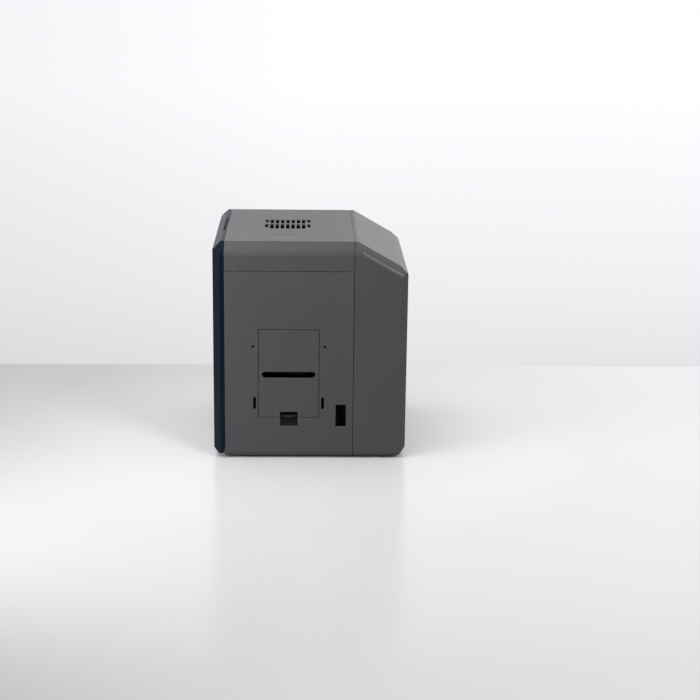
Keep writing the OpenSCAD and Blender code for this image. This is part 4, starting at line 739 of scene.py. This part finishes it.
class PRINTER_OT_print_unit(bpy.types.Operator):
    """Print head with its heat sink, on its pivoting bracket"""
    bl_idname = "printer.print_unit"
    bl_label = "Print head"

    def execute(self, context):
        ceramic_depth = 6.2
        ceramic_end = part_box("print_head")[0].x / MM + ceramic_depth
        dress("print_head",
              [("ceramic", lambda c, n: c.x < ceramic_end), ("heat sink", None)], 0.15 * MM)
        dress("head_bracket", [("sheet metal", None)], 0.2 * MM)
        return {"FINISHED"}


class PRINTER_OT_cassettes(bpy.types.Operator):
    """Film and ribbon cassettes with their rolls and webs"""
    bl_idname = "printer.cassettes"
    bl_label = "Cassettes"

    def execute(self, context):
        small = inside_settings().edge
        for name in ("film_cassette", "ribbon_cassette"):
            dress(name, [("cassette plastic", None)], 0.4 * MM, steps=3)
        tints = {"film": ((0.55, 0.52, 0.44), (0.40, 0.37, 0.30)),
                 "ribbon": ((0.10, 0.05, 0.14), (0.04, 0.02, 0.06))}
        core_radius = 9.6
        for kind, (first, second) in tints.items():
            for name in (kind + "_supply", kind + "_takeup"):
                low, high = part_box(name)
                winding = name + " winding"
                wound_roll(winding, first, second, ((low.x + high.x) / 2, (low.z + high.z) / 2))
                dress(name, [(winding, off_axis(name, core_radius)), ("white plastic", None)], small)
        dress("film_web", [("clear film", None)], 0)
        dress("ribbon_web", [("ribbon panels", None)], 0)
        return {"FINISHED"}


class PRINTER_OT_drives(bpy.types.Operator):
    """Card flipper, motors, pulley, belt, pinions and hubs"""
    bl_idname = "printer.drives"
    bl_label = "Flipper and drives"

    def execute(self, context):
        small = inside_settings().edge
        cap_length = 6
        dress("flipper", [("black plastic", None)], small)
        for name in ("flipper_motor", "transport_motor", "ribbon_motor", "film_motor"):
            low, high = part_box(name)
            front, back = low.y / MM + cap_length, high.y / MM - cap_length
            dress(name,
                  [("heat sink", lambda c, n: not front <= c.y <= back), ("motor laminations", None)],
                  0.6 * MM)
        dress("motor_pulley", [("turned steel", None)], small)
        dress("drive_belt", [("rubber", None)], 0)
        for name in ("ribbon_pinion", "film_pinion"):
            dress(name, [("brass", None)], 0.08 * MM)
        for name in ("ribbon_hub", "film_hub"):
            dress(name, [("white plastic", None)], 0.12 * MM)
        return {"FINISHED"}


class PRINTER_OT_electronics(bpy.types.Operator):
    """Main board, power supply, mains inlet, switch and fan"""
    bl_idname = "printer.electronics"
    bl_label = "Electronics"

    def execute(self, context):
        small = inside_settings().edge
        board_depth, ports_start = 1.7, 130
        board_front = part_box("main_board")[1].x / MM - board_depth
        dress("main_board",
              [("main board mask", lambda c, n: c.x > board_front),
               ("sheet metal", lambda c, n: c.y > ports_start),
               ("black fittings and painted shade", None)], 0.15 * MM)
        dress("power_supply", [("sheet metal", None)], small)
        dress("mains_inlet", [("black fittings and painted shade", None)], small)
        dress("power_switch", [("black fittings and painted shade", None)], 0.3 * MM)
        for name in ("fan_housing", "fan_rotor"):
            dress(name, [("black plastic", None)], small)
        return {"FINISHED"}


# Stage

def table_surface(name, colour, bounce):
    """A pale satin table with painted light that makes it paler round the object, at the back and on the
    right. The camera and the reflections see its full colour, and bounce is the share of it that lights the
    object."""
    material, tree, shader = start_material(name, 0.2, Specular_IOR_Level=0.36)
    place = object_place(tree)
    cloud = remap(tree, noise(tree, place, 1.6, 2.0, 0.5), 0.3, 0.7, 0.0, 1.0)
    tint = blend_colours(tree, "MIX", cloud, tuple(c * 0.985 for c in colour), colour)
    x, y, _ = axes(tree, place)
    outside = []
    for part, half in ((x, CAD_BOX[1][0]), (y, CAD_BOX[1][1])):
        beyond = maths(tree, "SUBTRACT", maths(tree, "ABSOLUTE", part), half)
        outside.append(maths(tree, "MAXIMUM", beyond, 0.0))
    # painted light: paler round the object, towards the back and to the right, darker far to the left
    near = remap(tree, distance(tree, *outside), 0.0, 0.32, 1.14, 1.0)
    deep = remap(tree, x, -0.4, 0.9, 1.34, 0.92)
    left = remap(tree, y, -0.7, 0.0, 0.58, 1.03)
    right = remap(tree, y, 0.0, 0.7, 1.0, 1.14)
    tint = scaled_colour(tree, tint, product(tree, near, deep, left, right))
    lighting = node(tree, "ShaderNodeLightPath").outputs["Is Diffuse Ray"]
    lit = blend_colours(tree, "MIX", lighting, tint, tuple(c * bounce for c in colour))
    tree.links.new(lit, shader.inputs["Base Color"])
    return material


def area_light(name, place, target, size, power):
    """A white rectangular lamp at a place, turned towards the target."""
    data = bpy.data.lights.new(name, "AREA")
    data.shape = "RECTANGLE"
    data.size, data.size_y = size
    data.energy = power
    lamp = bpy.data.objects.new(name, data)
    lamp.location = place
    lamp.rotation_euler = (Vector(target) - Vector(place)).to_track_quat("-Z", "Y").to_euler()
    bpy.context.scene.collection.objects.link(lamp)


def flat_plane(name, corners, material):
    mesh = bpy.data.meshes.new(name)
    mesh.from_pydata(corners, [], [tuple(range(len(corners)))])
    mesh.materials.append(material)
    plane = bpy.data.objects.new(name, mesh)
    bpy.context.scene.collection.objects.link(plane)


def room_light(stage):
    """The room: a soft light on the object, a pale wall for the camera with painted shade that darkens its
    foot and its left side, and its own brightness in reflections, which falls towards the camera's side."""
    world = bpy.data.worlds.new("Room")
    bpy.context.scene.world = world
    world.use_nodes = True
    tree = world.node_tree
    background = tree.nodes["Background"]
    path = node(tree, "ShaderNodeLightPath").outputs
    glossy = path["Is Glossy Ray"]
    plain = maths(tree, "MAXIMUM", path["Is Camera Ray"], path["Is Transmission Ray"])
    unseen = maths(tree, "SUBTRACT", 1.0, maths(tree, "MAXIMUM", plain, glossy))
    x, y, z = axes(tree, node(tree, "ShaderNodeTexCoord").outputs["Generated"])
    lighting = product(tree, unseen, remap(tree, z, -0.4, 0.9, 0.7, 1.3), stage.ambient)
    room = product(tree, remap(tree, x, -0.1, 0.5, 1.03, 0.18), remap(tree, y, 0.03, 0.22, 1.0, 1.42))
    # painted shade on the wall that the camera sees: darker at its foot and to the left, paler higher up
    foot = remap(tree, z, -0.27, -0.22, 0.93, 1.03)
    head = remap(tree, z, -0.22, -0.10, 1.0, 1.16)
    side = remap(tree, y, -0.20, 0.0, 0.90, 1.0)
    seen = maths(tree, "MAXIMUM", product(tree, glossy, room), product(tree, plain, foot, head, side))
    strength = maths(tree, "ADD", lighting, seen)
    background.inputs["Color"].default_value = (*stage.wall, 1)
    tree.links.new(strength, background.inputs["Strength"])


def photo_camera(stage):
    """The camera, from its fitted yaw, pitch and roll."""
    yaw, pitch, roll = stage.camera_yaw, stage.camera_pitch, stage.camera_roll
    forward = Vector((-math.cos(yaw) * math.cos(pitch), math.sin(yaw) * math.cos(pitch), -math.sin(pitch)))
    right = Vector((math.sin(yaw), math.cos(yaw), 0))
    up = right.cross(forward)
    across = math.cos(roll) * right + math.sin(roll) * up
    above = -math.sin(roll) * right + math.cos(roll) * up
    data = bpy.data.cameras.new("Photo camera")
    frame_px, sensor_mm = 700, 36
    data.sensor_width = sensor_mm
    data.lens = stage.focal_px / frame_px * sensor_mm
    data.clip_end = 50
    camera = bpy.data.objects.new("Photo camera", data)
    turn = Matrix((across, above, -forward)).transposed()
    camera.matrix_world = Matrix.Translation(Vector(stage.camera_place)) @ turn.to_4x4()
    bpy.context.scene.collection.objects.link(camera)
    bpy.context.scene.camera = camera


class PRINTER_OT_stage(bpy.types.Operator):
    """Camera at the photographed angle, pale table, room light and soft lamps"""
    bl_idname = "printer.stage"
    bl_label = "Studio"

    def execute(self, context):
        stage = stage_settings()
        context.scene.view_settings.view_transform = "Standard"
        photo_camera(stage)
        room_light(stage)
        table = table_surface("Table top", tuple(stage.table), stage.bounce)
        back, front, half_width = -0.40, 5, 4
        flat_plane("Table", [(back, -half_width, 0), (front, -half_width, 0),
                             (front, half_width, 0), (back, half_width, 0)], table)
        lamps = (
            ("Ceiling light", (-0.3, -0.2, 2.4), (0, 0, 0.2), (2.4, 2.4), 2.9),
            ("Low light", (0.8, -0.4, 0.9), (0.2, -0.05, 0.12), (0.7, 0.7), 0.25),
            ("Window light", (0.55, -0.72, 0.43), (0.15, -0.15, 0.2), (0.45, 0.45), 0.44),
            ("Side softbox", (1.75, 1.32, 1.75), (0.15, 0.11, 0.3), (0.7, 0.8), 2.7))
        for name, place, target, size, share in lamps:
            area_light(name, place, target, size, stage.key * share)
        return {"FINISHED"}


PIECE_OPERATORS = (
    PRINTER_OT_case, PRINTER_OT_front_door, PRINTER_OT_hatch_fittings, PRINTER_OT_base,
    PRINTER_OT_frames, PRINTER_OT_rollers, PRINTER_OT_print_unit, PRINTER_OT_cassettes,
    PRINTER_OT_drives, PRINTER_OT_electronics)


class PRINTER_PT_sidebar(bpy.types.Panel):
    """Lists the printer's settings and the steps that build it"""
    bl_idname = "PRINTER_PT_sidebar"
    bl_label = "Id card printer"
    bl_space_type = "VIEW_3D"
    bl_region_type = "UI"
    bl_category = "Card printer"

    def draw(self, context):
        scene = context.scene
        for title, group in (("Case", scene.printer_case), ("Mechanism", scene.printer_inside),
                             ("Studio", scene.printer_stage)):
            box = self.layout.box()
            box.label(text=title)
            for name in group.bl_rna.properties.keys():
                if name not in ("rna_type", "name"):
                    box.prop(group, name)
        steps = self.layout.column(align=True)
        for operator in (*PIECE_OPERATORS, PRINTER_OT_stage):
            steps.operator(operator.bl_idname)


CLASSES = (CaseSettings, InsideSettings, StageSettings,
           *PIECE_OPERATORS, PRINTER_OT_stage, PRINTER_PT_sidebar)


def register():
    for item in CLASSES:
        bpy.utils.register_class(item)
    bpy.types.Scene.printer_case = bpy.props.PointerProperty(type=CaseSettings)
    bpy.types.Scene.printer_inside = bpy.props.PointerProperty(type=InsideSettings)
    bpy.types.Scene.printer_stage = bpy.props.PointerProperty(type=StageSettings)


def unregister():
    del bpy.types.Scene.printer_stage, bpy.types.Scene.printer_inside, bpy.types.Scene.printer_case
    for item in reversed(CLASSES):
        bpy.utils.unregister_class(item)


def main():
    register()
    bpy.ops.printer.case()
    bpy.ops.printer.front_door()
    bpy.ops.printer.hatch_fittings()
    bpy.ops.printer.base()
    bpy.ops.printer.frames()
    bpy.ops.printer.rollers()
    bpy.ops.printer.print_unit()
    bpy.ops.printer.cassettes()
    bpy.ops.printer.drives()
    bpy.ops.printer.electronics()
    bpy.ops.printer.stage()
    bpy.context.view_layer.update()


if __name__ == "__main__":
    main()
